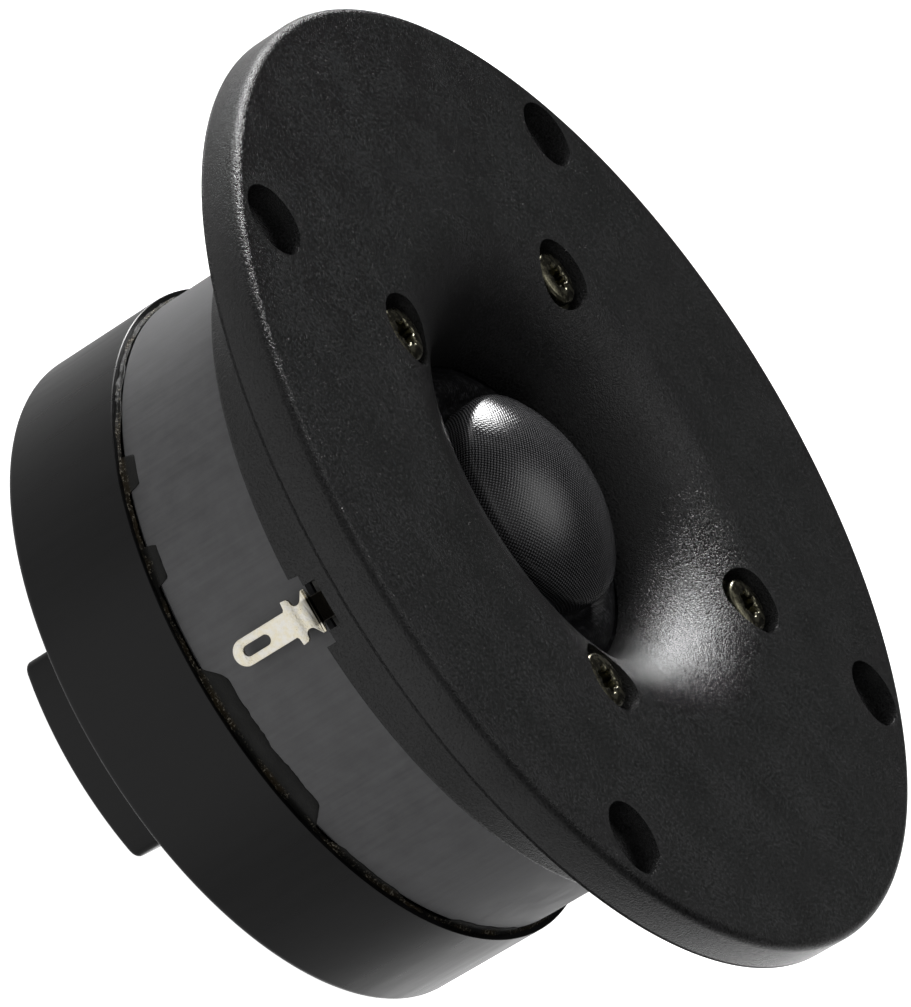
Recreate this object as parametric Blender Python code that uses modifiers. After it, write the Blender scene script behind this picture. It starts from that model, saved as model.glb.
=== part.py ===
"""Horn-loaded soft-dome tweeter, modelled as it is built.

The tweeter lies on its back: +Z runs along its axis towards the listener, and the
origin is the middle of the flat rear pad. The two solder tags are on -Y and +Y.
"""

import math

import bmesh
import bpy
from mathutils import Matrix, Vector

MM = 0.001

# --- Front plate (moulded flange, horn and skirt in one piece) ---
PLATE_RADIUS = 67.0 * MM
FLANGE_THICKNESS = 5.6 * MM
PLATE_EDGE_RADIUS = 1.2 * MM
PLATE_REAR_CHAMFER = 0.4 * MM
HORN_MOUTH_RADIUS = 36.5 * MM
HORN_FLARE_RADIUS = 15.5 * MM
HORN_DEPTH = 12.4 * MM
SKIRT_WALL = 3.3 * MM
SKIRT_OVERHANG = 0.3 * MM
SKIRT_CHAMFER = 0.5 * MM

# --- Fastening of the plate to a baffle ---
MOUNT_HOLE_COUNT = 4
MOUNT_CIRCLE_RADIUS = 60.3 * MM
MOUNT_HOLE_RADIUS = 2.4 * MM
MOUNT_BORE_RADIUS = 4.88 * MM
MOUNT_BORE_DEPTH = 3.45 * MM

# --- Star-drive screws that hold the plate on the motor ---
SCREW_COUNT = 4
SCREW_CIRCLE_RADIUS = 34.6 * MM
SCREW_BORE_RADIUS = 4.95 * MM
SCREW_BORE_DEPTH = 3.6 * MM
SCREW_HEAD_RADIUS = 3.7 * MM
SCREW_HEAD_ROUNDING = 0.6 * MM
SCREW_FLANGE_RADIUS = 4.4 * MM
SCREW_FLANGE_HEIGHT = 0.7 * MM
SCREW_HEAD_RECESS = 0.95 * MM
SCREW_SHANK_RADIUS = 1.95 * MM
SCREW_TIP_RADIUS = 1.35 * MM
SCREW_TIP_LENGTH = 0.4 * MM
SCREW_TIP_CLEARANCE = 0.4 * MM
SCREW_SOCKET_LOBES = 6
SCREW_SOCKET_RADIUS = 1.95 * MM
SCREW_SOCKET_WAIST = 1.4 * MM
SCREW_SOCKET_DEPTH = 1.3 * MM

# --- Diaphragm ---
DOME_RADIUS = 14.9 * MM
DOME_SPHERE_RADIUS = 23.0 * MM
DOME_SHOULDER_RADIUS = 2.4 * MM
DOME_APEX_RECESS = 2.1 * MM
DOME_FOOT_RECESS = 11.3 * MM
DOME_THICKNESS = 0.35 * MM
SURROUND_THICKNESS = 0.3 * MM
SURROUND_ROLL_HEIGHT = 1.35 * MM
SURROUND_INNER_DROP = 0.5 * MM
SURROUND_LIP_WIDTH = 4.0 * MM
CARRIER_RING_THICKNESS = 1.6 * MM
CARRIER_GROOVE_DEPTH = 0.9 * MM
CARRIER_GROOVE_WIDTH = 2.5 * MM

# --- Voice coil and magnet system ---
FORMER_THICKNESS = 0.25 * MM
COIL_THICKNESS = 0.5 * MM
COIL_OVERHANG = 0.5 * MM
COIL_GLUE_GAP = 0.15 * MM
FORMER_TAIL = 0.4 * MM
MAGNET_GAP_CLEARANCE = 0.6 * MM
TOP_PLATE_THICKNESS = 3.5 * MM
FERRITE_RADIUS = 46.0 * MM
FERRITE_HEIGHT = 18.6 * MM
FERRITE_BORE_RADIUS = 22.0 * MM
STEEL_INSET = 0.5 * MM
BACK_PLATE_THICKNESS = 6.0 * MM
POLE_VENT_RADIUS = 4.5 * MM
POLE_RISE = 0.7 * MM
FELT_THICKNESS = 1.6 * MM
FELT_MARGIN = 1.0 * MM

# --- Rear chamber ---
CUP_OVERHANG = 1.1 * MM
CUP_HEIGHT = 17.6 * MM
CUP_WALL = 1.4 * MM
CUP_LEDGE = 2.0 * MM
CUP_FLOOR = 2.2 * MM
CUP_EDGE_RADIUS = 1.0 * MM
PAD_WIDTH = 28.0 * MM
PAD_END_RADIUS = 37.5 * MM
PAD_HEIGHT = 9.5 * MM
PAD_WALL = 2.2 * MM
FOAM_THICKNESS = 5.0 * MM
GLUE_WIDTH = 0.6 * MM
GLUE_TOP_WIDTH = 0.18 * MM
GLUE_HEIGHT = 2.2 * MM

# --- Terminals ---
TAG_WIDTH = 3.5 * MM
TAG_THICKNESS = 0.5 * MM
TAG_STAND_OFF = 2.5 * MM
TAG_REACH = 12.0 * MM
TAG_EAR_WIDTH = 5.9 * MM
TAG_EAR_HEIGHT = 1.2 * MM
TAG_EAR_DROP = 1.9 * MM
TAG_EAR_TAPER = 0.25 * MM
TAG_FOOT_LENGTH = 12.5 * MM
TAG_FOOT_INSET = 0.05 * MM
TAG_SLOT_WIDTH = 1.4 * MM
TAG_SLOT_LENGTH = 4.1 * MM
TAG_SLOT_DROP = 6.4 * MM
TAG_POCKET_WIDTH = 6.2 * MM
TAG_POCKET_HEIGHT = 3.4 * MM
TAG_NOTCH_WIDTH = 9.3 * MM
TAG_NOTCH_HEIGHT = 1.6 * MM
CHANNEL_HEIGHT = 2.5 * MM
RIVET_RADIUS = 1.0 * MM
RIVET_HEAD_RADIUS = 1.8 * MM
RIVET_HEAD_HEIGHT = 0.6 * MM
RIVET_HEAD_TAPER = 0.36 * MM
RIVET_GRIP = 3.0 * MM
RIVET_INSET = 6.5 * MM
WIRE_RADIUS = 0.25 * MM
WIRE_LIFT = 0.45 * MM
WIRE_LAP = 1.5 * MM
WIRE_RAMP = 4.0 * MM

# --- Fits ---
GAP = 0.3 * MM
SCREW_CLEARANCE = 0.35 * MM
THREAD_CLEARANCE = 0.25 * MM
SKIRT_CLEARANCE = 0.6 * MM
TAG_CLEARANCE = 0.4 * MM
MERGE = 0.00001
CUT_MARGIN = 2.0 * MM

# --- Fineness ---
RING_STEPS = 60
DOME_STEPS = 36
HOLE_STEPS = 16
RIVET_STEPS = 12
FLARE_STEPS = 7
CROWN_STEPS = 8
ROLL_STEPS = 8
TAG_END_STEPS = 8
TAG_SLOT_STEPS = 6
WIRE_BEND_STEPS = 6
ROUND_STEPS = 4
CORNER_STEPS = 3

# --- Heights along the axis, from the rear pad forwards ---
CUP_REAR_Z = PAD_HEIGHT
CUP_FRONT_Z = CUP_REAR_Z + CUP_HEIGHT
BACK_PLATE_REAR_Z = CUP_FRONT_Z - BACK_PLATE_THICKNESS
FERRITE_REAR_Z = CUP_FRONT_Z + GAP
FERRITE_FRONT_Z = FERRITE_REAR_Z + FERRITE_HEIGHT
TOP_PLATE_REAR_Z = FERRITE_FRONT_Z + GAP
TOP_PLATE_FRONT_Z = TOP_PLATE_REAR_Z + TOP_PLATE_THICKNESS
SEAT_Z = TOP_PLATE_FRONT_Z + GAP
CARRIER_FRONT_Z = SEAT_Z + CARRIER_RING_THICKNESS
LIP_REAR_Z = CARRIER_FRONT_Z + GAP
LIP_FRONT_Z = LIP_REAR_Z + SURROUND_THICKNESS
THROAT_Z = LIP_FRONT_Z + GAP
FRONT_Z = THROAT_Z + HORN_DEPTH
FLANGE_REAR_Z = FRONT_Z - FLANGE_THICKNESS
SKIRT_REAR_Z = FERRITE_FRONT_Z - SKIRT_OVERHANG
DOME_APEX_Z = FRONT_Z - DOME_APEX_RECESS
DOME_FOOT_Z = FRONT_Z - DOME_FOOT_RECESS

# --- Radii that follow from the fits ---
THROAT_SLOPE = math.acos(1.0 - HORN_DEPTH / HORN_FLARE_RADIUS)
THROAT_RADIUS = HORN_MOUTH_RADIUS - HORN_FLARE_RADIUS * math.sin(THROAT_SLOPE)
SKIRT_INNER_RADIUS = FERRITE_RADIUS + SKIRT_CLEARANCE
SKIRT_RADIUS = SKIRT_INNER_RADIUS + SKIRT_WALL
TAG_FACE_RADIUS = FERRITE_RADIUS + TAG_STAND_OFF
STEEL_RADIUS = FERRITE_RADIUS - STEEL_INSET
FORMER_INNER_RADIUS = DOME_RADIUS - DOME_THICKNESS - FORMER_THICKNESS
FORMER_OUTER_RADIUS = FORMER_INNER_RADIUS + FORMER_THICKNESS
COIL_INNER_RADIUS = FORMER_OUTER_RADIUS + COIL_GLUE_GAP
COIL_OUTER_RADIUS = COIL_INNER_RADIUS + COIL_THICKNESS
GAP_OUTER_RADIUS = COIL_OUTER_RADIUS + MAGNET_GAP_CLEARANCE
POLE_RADIUS = FORMER_INNER_RADIUS - MAGNET_GAP_CLEARANCE
SURROUND_INNER_RADIUS = DOME_RADIUS + 2.0 * GAP
SURROUND_ROLL_END_RADIUS = THROAT_RADIUS - GAP
LIP_OUTER_RADIUS = SURROUND_ROLL_END_RADIUS + SURROUND_LIP_WIDTH
RECESS_RADIUS = LIP_OUTER_RADIUS + GAP
CUP_RADIUS = FERRITE_RADIUS + CUP_OVERHANG
CUP_INNER_RADIUS = CUP_RADIUS - CUP_WALL
BACK_PLATE_RADIUS = CUP_INNER_RADIUS - GAP
CHAMBER_RADIUS = CUP_INNER_RADIUS - CUP_LEDGE
CHANNEL_TOP_Z = SEAT_Z + CHANNEL_HEIGHT
TAG_FOOT_TOP_Z = CHANNEL_TOP_Z - GAP


# ---------------------------------------------------------------- helpers

def clear_scene():
    for obj in list(bpy.data.objects):
        bpy.data.objects.remove(obj, do_unlink=True)


def new_collection(name):
    collection = bpy.data.collections.new(name)
    bpy.context.scene.collection.children.link(collection)
    return collection


def make_material(name, color, roughness, metallic=0.0):
    material = bpy.data.materials.new(name)
    material.use_nodes = True
    shader = material.node_tree.nodes["Principled BSDF"]
    shader.inputs["Base Color"].default_value = (*color, 1.0)
    shader.inputs["Roughness"].default_value = roughness
    shader.inputs["Metallic"].default_value = metallic
    return material


def add_object(name, mesh, collection, material=None):
    obj = bpy.data.objects.new(name, mesh)
    collection.objects.link(obj)
    if material is not None:
        mesh.materials.append(material)
    return obj


def turned(name, profile, collection, material=None, steps=RING_STEPS, closed=True):
    """Spin a profile of (radius, height) points about Z.

    The points run down the outer side and back up the inner side. An open profile
    starts and ends on the axis.
    """
    mesh = bpy.data.meshes.new(name)
    shape = bmesh.new()
    points = [shape.verts.new((radius, 0.0, height)) for radius, height in profile]
    for first, second in zip(points, points[1:]):
        shape.edges.new((first, second))
    if closed:
        shape.edges.new((points[-1], points[0]))
    shape.to_mesh(mesh)
    shape.free()
    obj = add_object(name, mesh, collection, material)
    screw = obj.modifiers.new("Turn", "SCREW")
    screw.axis = "Z"
    screw.angle = 2.0 * math.pi
    screw.steps = steps
    screw.render_steps = steps
    screw.use_merge_vertices = True
    screw.merge_threshold = MERGE
    screw.use_smooth_shade = True
    return obj


def ring(name, inner, outer, bottom, top, collection, material=None, steps=RING_STEPS):
    profile = [(outer, top), (outer, bottom), (inner, bottom), (inner, top)]
    return turned(name, profile, collection, material, steps)


def cylinder(name, radius, bottom, top, collection, centre=(0.0, 0.0), steps=HOLE_STEPS):
    mesh = bpy.data.meshes.new(name)
    shape = bmesh.new()
    bmesh.ops.create_cone(shape, cap_ends=True, segments=steps, radius1=radius,
                          radius2=radius, depth=top - bottom)
    shape.to_mesh(mesh)
    shape.free()
    obj = add_object(name, mesh, collection)
    obj.location = (centre[0], centre[1], 0.5 * (bottom + top))
    return obj


def box(name, low, high, collection):
    mesh = bpy.data.meshes.new(name)
    size = Vector(high) - Vector(low)
    shape = bmesh.new()
    bmesh.ops.create_cube(shape, size=1.0, matrix=Matrix.Diagonal((*size, 1.0)))
    shape.to_mesh(mesh)
    shape.free()
    obj = add_object(name, mesh, collection)
    obj.location = 0.5 * (Vector(low) + Vector(high))
    return obj


def boolean(obj, tool, operation):
    modifier = obj.modifiers.new(tool.name, "BOOLEAN")
    modifier.operation = operation
    modifier.solver = "EXACT"
    modifier.object = tool


def hide_tools(collection):
    for obj in collection.objects:
        obj.hide_render = True
        obj.display_type = "WIRE"


def arc(centre, radius, start_deg, end_deg, steps):
    """Points on a circle in the profile plane, ends included."""
    points = []
    for step in range(steps + 1):
        angle = math.radians(start_deg + (end_deg - start_deg) * step / steps)
        points.append((centre[0] + radius * math.cos(angle),
                       centre[1] + radius * math.sin(angle)))
    return points


def spots(count, radius):
    """Evenly spaced places on a circle, half a step away from the X axis."""
    places = []
    for index in range(count):
        angle = 2.0 * math.pi * (index + 0.5) / count
        places.append((radius * math.cos(angle), radius * math.sin(angle)))
    return places


# ---------------------------------------------------------------- front plate

def front_plate_profile():
    edge = PLATE_EDGE_RADIUS
    rim = arc((PLATE_RADIUS - edge, FRONT_Z - edge), edge, 90.0, 0.0, ROUND_STEPS)
    rear = [
        (PLATE_RADIUS, FLANGE_REAR_Z + PLATE_REAR_CHAMFER),
        (PLATE_RADIUS - PLATE_REAR_CHAMFER, FLANGE_REAR_Z),
        (SKIRT_RADIUS, FLANGE_REAR_Z),
        (SKIRT_RADIUS, SKIRT_REAR_Z + SKIRT_CHAMFER),
        (SKIRT_RADIUS - SKIRT_CHAMFER, SKIRT_REAR_Z),
        (SKIRT_INNER_RADIUS, SKIRT_REAR_Z),
        (SKIRT_INNER_RADIUS, SEAT_Z),
        (RECESS_RADIUS, SEAT_Z),
        (RECESS_RADIUS, THROAT_Z),
    ]
    flare_centre = (HORN_MOUTH_RADIUS, FRONT_Z - HORN_FLARE_RADIUS)
    throat_angle = 90.0 + math.degrees(THROAT_SLOPE)
    flare = arc(flare_centre, HORN_FLARE_RADIUS, throat_angle, 90.0, FLARE_STEPS)
    return rim + rear + flare


def cut_tag_channel(plate, side, tools):
    """Pocket, notch and wire channel for one terminal; side is -1 for -Y, +1 for +Y."""
    label = "rear" if side > 0 else "front"
    outer = TAG_FACE_RADIUS + TAG_CLEARANCE
    beyond = SKIRT_RADIUS + CUT_MARGIN
    below = SKIRT_REAR_Z - CUT_MARGIN
    cuts = {
        "channel": (TAG_POCKET_WIDTH, RECESS_RADIUS - GAP, outer, below, CHANNEL_TOP_Z),
        "pocket": (TAG_POCKET_WIDTH, SKIRT_INNER_RADIUS - GAP, beyond, below,
                   SKIRT_REAR_Z + TAG_POCKET_HEIGHT),
        "notch": (TAG_NOTCH_WIDTH, SKIRT_INNER_RADIUS - GAP, beyond, below,
                  SKIRT_REAR_Z + TAG_NOTCH_HEIGHT),
    }
    for kind, (width, near, far, bottom, top) in cuts.items():
        low_y, high_y = sorted((side * near, side * far))
        tool = box(f"cut_{kind}_{label}", (-0.5 * width, low_y, bottom),
                   (0.5 * width, high_y, top), tools)
        boolean(plate, tool, "DIFFERENCE")
    rivet_y = side * (TAG_FACE_RADIUS - RIVET_INSET)
    hole = cylinder(f"cut_rivet_{label}", RIVET_RADIUS + GAP, CHANNEL_TOP_Z - GAP,
                    CHANNEL_TOP_Z + RIVET_GRIP, tools, (0.0, rivet_y), RIVET_STEPS)
    boolean(plate, hole, "DIFFERENCE")


def make_front_plate(parts, tools, material):
    plate = turned("front_plate", front_plate_profile(), parts, material)
    for index, place in enumerate(spots(MOUNT_HOLE_COUNT, MOUNT_CIRCLE_RADIUS), 1):
        through = cylinder(f"cut_mount_hole_{index}", MOUNT_HOLE_RADIUS,
                           FLANGE_REAR_Z - CUT_MARGIN, FRONT_Z + CUT_MARGIN, tools, place)
        bore = cylinder(f"cut_mount_bore_{index}", MOUNT_BORE_RADIUS,
                        FRONT_Z - MOUNT_BORE_DEPTH, FRONT_Z + CUT_MARGIN, tools, place)
        boolean(plate, through, "DIFFERENCE")
        boolean(plate, bore, "DIFFERENCE")
    for index, place in enumerate(spots(SCREW_COUNT, SCREW_CIRCLE_RADIUS), 1):
        through = cylinder(f"cut_screw_hole_{index}", SCREW_SHANK_RADIUS + SCREW_CLEARANCE,
                           SEAT_Z - CUT_MARGIN, FRONT_Z + CUT_MARGIN, tools, place)
        bore = cylinder(f"cut_screw_bore_{index}", SCREW_BORE_RADIUS,
                        FRONT_Z - SCREW_BORE_DEPTH, FRONT_Z + CUT_MARGIN, tools, place)
        boolean(plate, through, "DIFFERENCE")
        boolean(plate, bore, "DIFFERENCE")
    for side in (-1, 1):
        cut_tag_channel(plate, side, tools)
    return plate


def star_cutter(name, bottom, top, place, tools):
    """Upright prism with six short points, for the screws' star sockets."""
    mesh = bpy.data.meshes.new(name)
    shape = bmesh.new()
    corners = []
    for index in range(2 * SCREW_SOCKET_LOBES):
        angle = math.pi * index / SCREW_SOCKET_LOBES
        radius = SCREW_SOCKET_WAIST if index % 2 else SCREW_SOCKET_RADIUS
        corners.append((radius * math.cos(angle), radius * math.sin(angle)))
    lower = [shape.verts.new((x, y, bottom)) for x, y in corners]
    upper = [shape.verts.new((x, y, top)) for x, y in corners]
    shape.faces.new(lower[::-1])
    shape.faces.new(upper)
    for index in range(len(corners)):
        after = (index + 1) % len(corners)
        shape.faces.new((lower[index], lower[after], upper[after], upper[index]))
    shape.to_mesh(mesh)
    shape.free()
    obj = add_object(name, mesh, tools)
    obj.location = (place[0], place[1], 0.0)
    return obj


def make_screws(parts, tools, material):
    seat = FRONT_Z - SCREW_BORE_DEPTH + GAP
    crown = FRONT_Z - SCREW_HEAD_RECESS
    tip = TOP_PLATE_REAR_Z + SCREW_TIP_CLEARANCE
    shoulder = seat + SCREW_FLANGE_HEIGHT
    rounding = SCREW_HEAD_ROUNDING
    profile = [(0.0, crown)]
    profile += arc((SCREW_HEAD_RADIUS - rounding, crown - rounding), rounding, 90.0, 0.0,
                   CORNER_STEPS)
    profile += [
        (SCREW_HEAD_RADIUS, shoulder),
        (SCREW_FLANGE_RADIUS, shoulder),
        (SCREW_FLANGE_RADIUS, seat),
        (SCREW_SHANK_RADIUS, seat),
        (SCREW_SHANK_RADIUS, tip + SCREW_TIP_LENGTH),
        (SCREW_TIP_RADIUS, tip),
        (0.0, tip),
    ]
    for index, place in enumerate(spots(SCREW_COUNT, SCREW_CIRCLE_RADIUS), 1):
        screw = turned(f"plate_screw_{index}", profile, parts, material, HOLE_STEPS, False)
        screw.location = (place[0], place[1], 0.0)
        socket = star_cutter(f"cut_socket_{index}", crown - SCREW_SOCKET_DEPTH,
                             crown + CUT_MARGIN, place, tools)
        boolean(screw, socket, "DIFFERENCE")


# ---------------------------------------------------------------- diaphragm

def dome_curve(offset):
    """Crown, rounded shoulder and straight flank of the dome, inset by offset."""
    crown = DOME_SPHERE_RADIUS
    centre_z = DOME_APEX_Z - crown
    shoulder = DOME_SHOULDER_RADIUS
    shoulder_r = DOME_RADIUS - shoulder
    lean = math.asin(shoulder_r / (crown - shoulder))
    shoulder_z = centre_z + (crown - shoulder) * math.cos(lean)
    lean_deg = 90.0 - math.degrees(lean)
    crown_points = arc((0.0, centre_z), crown - offset, 90.0, lean_deg, CROWN_STEPS)
    shoulder_points = arc((shoulder_r, shoulder_z), shoulder - offset, lean_deg, 0.0,
                          ROUND_STEPS)
    flank = [(DOME_RADIUS - offset, DOME_FOOT_Z)]
    return crown_points + shoulder_points[1:] + flank


def make_dome(parts, material):
    outer = dome_curve(0.0)
    inner = dome_curve(DOME_THICKNESS)
    outer[0] = (0.0, outer[0][1])
    inner[0] = (0.0, inner[0][1])
    return turned("dome", outer + inner[::-1], parts, material, DOME_STEPS, False)


def surround_height(share):
    """Top surface of the half roll, from its inner end (0) to its outer end (1)."""
    inner_z = DOME_FOOT_Z - SURROUND_INNER_DROP
    level = inner_z + (LIP_FRONT_Z - inner_z) * share
    return level + SURROUND_ROLL_HEIGHT * math.sin(math.pi * share)


def make_surround(parts, material):
    top = []
    for step in range(ROLL_STEPS + 1):
        share = step / ROLL_STEPS
        radius = SURROUND_INNER_RADIUS
        radius += (SURROUND_ROLL_END_RADIUS - SURROUND_INNER_RADIUS) * share
        top.append((radius, surround_height(share)))
    top.append((LIP_OUTER_RADIUS, LIP_FRONT_Z))
    bottom = [(radius, height - SURROUND_THICKNESS) for radius, height in top]
    return turned("surround", top + bottom[::-1], parts, material, DOME_STEPS)


def make_carrier_ring(parts, tools, material):
    carrier = ring("carrier_ring", THROAT_RADIUS, LIP_OUTER_RADIUS, SEAT_Z,
                   CARRIER_FRONT_Z, parts, material, DOME_STEPS)
    reach = RECESS_RADIUS + CUT_MARGIN
    half = 0.5 * CARRIER_GROOVE_WIDTH
    groove = box("cut_wire_groove", (-half, -reach, SEAT_Z - CUT_MARGIN),
                 (half, reach, SEAT_Z + CARRIER_GROOVE_DEPTH), tools)
    boolean(carrier, groove, "DIFFERENCE")


def make_voice_coil(parts, former_material, coil_material):
    coil_top = TOP_PLATE_FRONT_Z + COIL_OVERHANG
    coil_bottom = TOP_PLATE_REAR_Z - COIL_OVERHANG
    ring("coil_former", FORMER_INNER_RADIUS, FORMER_OUTER_RADIUS,
         coil_bottom - FORMER_TAIL, DOME_FOOT_Z - GAP, parts, former_material, DOME_STEPS)
    ring("voice_coil", COIL_INNER_RADIUS, COIL_OUTER_RADIUS, coil_bottom, coil_top,
         parts, coil_material, DOME_STEPS)


# ---------------------------------------------------------------- magnet system

def make_top_plate(parts, tools, material):
    plate = ring("top_plate", GAP_OUTER_RADIUS, STEEL_RADIUS, TOP_PLATE_REAR_Z,
                 TOP_PLATE_FRONT_Z, parts, material)
    for index, place in enumerate(spots(SCREW_COUNT, SCREW_CIRCLE_RADIUS), 1):
        hole = cylinder(f"cut_thread_{index}", SCREW_SHANK_RADIUS + THREAD_CLEARANCE,
                        TOP_PLATE_REAR_Z - CUT_MARGIN, TOP_PLATE_FRONT_Z + CUT_MARGIN,
                        tools, place)
        boolean(plate, hole, "DIFFERENCE")


def make_motor(parts, ferrite, steel, felt):
    ring("ferrite_ring", FERRITE_BORE_RADIUS, FERRITE_RADIUS, FERRITE_REAR_Z,
         FERRITE_FRONT_Z, parts, ferrite)
    ring("back_plate", POLE_RADIUS + GAP, BACK_PLATE_RADIUS, BACK_PLATE_REAR_Z,
         CUP_FRONT_Z, parts, steel)
    pole_front = TOP_PLATE_FRONT_Z + POLE_RISE
    ring("pole_piece", POLE_VENT_RADIUS, POLE_RADIUS, BACK_PLATE_REAR_Z, pole_front,
         parts, steel, DOME_STEPS)
    ring("pole_felt", POLE_VENT_RADIUS, POLE_RADIUS - FELT_MARGIN, pole_front + GAP,
         pole_front + GAP + FELT_THICKNESS, parts, felt, DOME_STEPS)


# ---------------------------------------------------------------- rear chamber

def pad_block(name, inset, bottom, top, tools):
    """The rear pad's outline: a bar with parallel sides and ends on one circle."""
    block = cylinder(name, PAD_END_RADIUS - inset, bottom, top, tools, steps=RING_STEPS)
    half = 0.5 * PAD_WIDTH - inset
    reach = PAD_END_RADIUS + CUT_MARGIN
    sides = box(f"{name}_sides", (-half, -reach, bottom - CUT_MARGIN),
                (half, reach, top + CUT_MARGIN), tools)
    boolean(block, sides, "INTERSECT")
    return block


def make_rear_cup(parts, tools, material):
    edge = CUP_EDGE_RADIUS
    floor_z = CUP_REAR_Z + CUP_FLOOR
    ledge_z = BACK_PLATE_REAR_Z - GAP
    profile = [
        (0.0, floor_z),
        (CHAMBER_RADIUS, floor_z),
        (CHAMBER_RADIUS, ledge_z),
        (CUP_INNER_RADIUS, ledge_z),
        (CUP_INNER_RADIUS, CUP_FRONT_Z),
        (CUP_RADIUS, CUP_FRONT_Z),
    ]
    profile += arc((CUP_RADIUS - edge, CUP_REAR_Z + edge), edge, 0.0, -90.0, CORNER_STEPS)
    profile.append((0.0, CUP_REAR_Z))
    cup = turned("rear_cup", profile, parts, material, RING_STEPS, False)
    pad = pad_block("join_pad", 0.0, 0.0, CUP_REAR_Z + 0.5 * CUP_FLOOR, tools)
    boolean(cup, pad, "UNION")
    hollow = pad_block("cut_pad_hollow", PAD_WALL, PAD_WALL, floor_z + CUT_MARGIN, tools)
    boolean(cup, hollow, "DIFFERENCE")


def make_chamber_foam(parts, material):
    bottom = CUP_REAR_Z + CUP_FLOOR + GAP
    profile = [(0.0, bottom + FOAM_THICKNESS), (CHAMBER_RADIUS - GAP, bottom + FOAM_THICKNESS),
               (CHAMBER_RADIUS - GAP, bottom), (0.0, bottom)]
    turned("chamber_foam", profile, parts, material, DOME_STEPS, False)


def make_glue_bead(parts, material):
    inner = FERRITE_RADIUS + GAP
    bottom = CUP_FRONT_Z + GAP
    profile = [(inner + GLUE_TOP_WIDTH, bottom + GLUE_HEIGHT), (inner + GLUE_WIDTH, bottom),
               (inner, bottom), (inner, bottom + GLUE_HEIGHT)]
    turned("glue_bead", profile, parts, material)


# ---------------------------------------------------------------- terminals

def tag_outline():
    """Half widths of the tag from its bend to its round end, as (half width, drop)."""
    half = 0.5 * TAG_WIDTH
    ear = 0.5 * TAG_EAR_WIDTH
    ear_top = TAG_EAR_DROP
    ear_bottom = TAG_EAR_DROP + TAG_EAR_HEIGHT
    shape = [(half, -(TAG_FOOT_TOP_Z - SKIRT_REAR_Z)), (half, ear_top - TAG_EAR_TAPER),
             (ear, ear_top), (ear, ear_bottom), (half, ear_bottom + TAG_EAR_TAPER)]
    for step in range(TAG_END_STEPS + 1):
        angle = 0.5 * math.pi * step / TAG_END_STEPS
        shape.append((half * math.cos(angle), TAG_REACH - half + half * math.sin(angle)))
    return shape


def make_tag_blade(name, side, parts, material):
    """Flat blade cut from strip: a filled outline, given half its thickness each way."""
    half_shape = tag_outline()
    mirrored = [(-width, drop) for width, drop in reversed(half_shape[:-1])]
    curve = bpy.data.curves.new(name, "CURVE")
    curve.dimensions = "2D"
    curve.fill_mode = "BOTH"
    curve.extrude = 0.5 * TAG_THICKNESS
    slot_half = 0.5 * TAG_SLOT_WIDTH
    slot = []
    for end in (0, 1):
        centre = TAG_SLOT_DROP + slot_half + end * (TAG_SLOT_LENGTH - TAG_SLOT_WIDTH)
        for step in range(TAG_SLOT_STEPS + 1):
            angle = math.pi * (end - 1) + math.pi * step / TAG_SLOT_STEPS
            slot.append((slot_half * math.cos(angle), centre + slot_half * math.sin(angle)))
    for outline in (half_shape + mirrored, slot):
        spline = curve.splines.new("POLY")
        spline.points.add(len(outline) - 1)
        for point, (x, drop) in zip(spline.points, outline):
            point.co = (x, -drop, 0.0, 1.0)
        spline.use_cyclic_u = True
    flat = add_object(name + "_flat", curve, parts)
    flat.rotation_euler = (math.radians(90.0), 0.0, 0.0)
    flat.location = (0.0, side * (TAG_FACE_RADIUS - 0.5 * TAG_THICKNESS), SKIRT_REAR_Z)
    bpy.context.view_layer.update()
    graph = bpy.context.evaluated_depsgraph_get()
    mesh = bpy.data.meshes.new_from_object(flat.evaluated_get(graph))
    matrix = flat.matrix_world.copy()
    bpy.data.objects.remove(flat, do_unlink=True)
    shape = bmesh.new()
    shape.from_mesh(mesh)
    bmesh.ops.remove_doubles(shape, verts=shape.verts, dist=MERGE)
    bmesh.ops.recalc_face_normals(shape, faces=shape.faces)
    shape.to_mesh(mesh)
    shape.free()
    blade = add_object(name, mesh, parts, material)
    blade.matrix_world = matrix
    return blade


def make_tag(name, side, parts, tools, material):
    blade = make_tag_blade(name, side, parts, material)
    half = 0.5 * TAG_WIDTH - TAG_FOOT_INSET
    root = TAG_FACE_RADIUS - 0.5 * TAG_THICKNESS
    low_y, high_y = sorted((side * (TAG_FACE_RADIUS - TAG_FOOT_LENGTH), side * root))
    foot_top = TAG_FOOT_TOP_Z - TAG_FOOT_INSET
    foot = box(f"join_foot_{name}", (-half, low_y, foot_top - TAG_THICKNESS),
               (half, high_y, foot_top), tools)
    boolean(blade, foot, "UNION")
    rivet_y = side * (TAG_FACE_RADIUS - RIVET_INSET)
    hole = cylinder(f"cut_rivet_hole_{name}", RIVET_RADIUS + GAP,
                    TAG_FOOT_TOP_Z - CUT_MARGIN, TAG_FOOT_TOP_Z + CUT_MARGIN, tools,
                    (0.0, rivet_y), RIVET_STEPS)
    boolean(blade, hole, "DIFFERENCE")


def make_rivet(name, side, parts, material):
    head_top = TAG_FOOT_TOP_Z - TAG_THICKNESS - GAP
    top = CHANNEL_TOP_Z + RIVET_GRIP - GAP
    profile = [(0.0, top), (RIVET_RADIUS, top), (RIVET_RADIUS, head_top),
               (RIVET_HEAD_RADIUS, head_top),
               (RIVET_HEAD_RADIUS - RIVET_HEAD_TAPER, head_top - RIVET_HEAD_HEIGHT),
               (0.0, head_top - RIVET_HEAD_HEIGHT)]
    rivet = turned(name, profile, parts, material, RIVET_STEPS, False)
    rivet.location = (0.0, side * (TAG_FACE_RADIUS - RIVET_INSET), 0.0)


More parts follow.
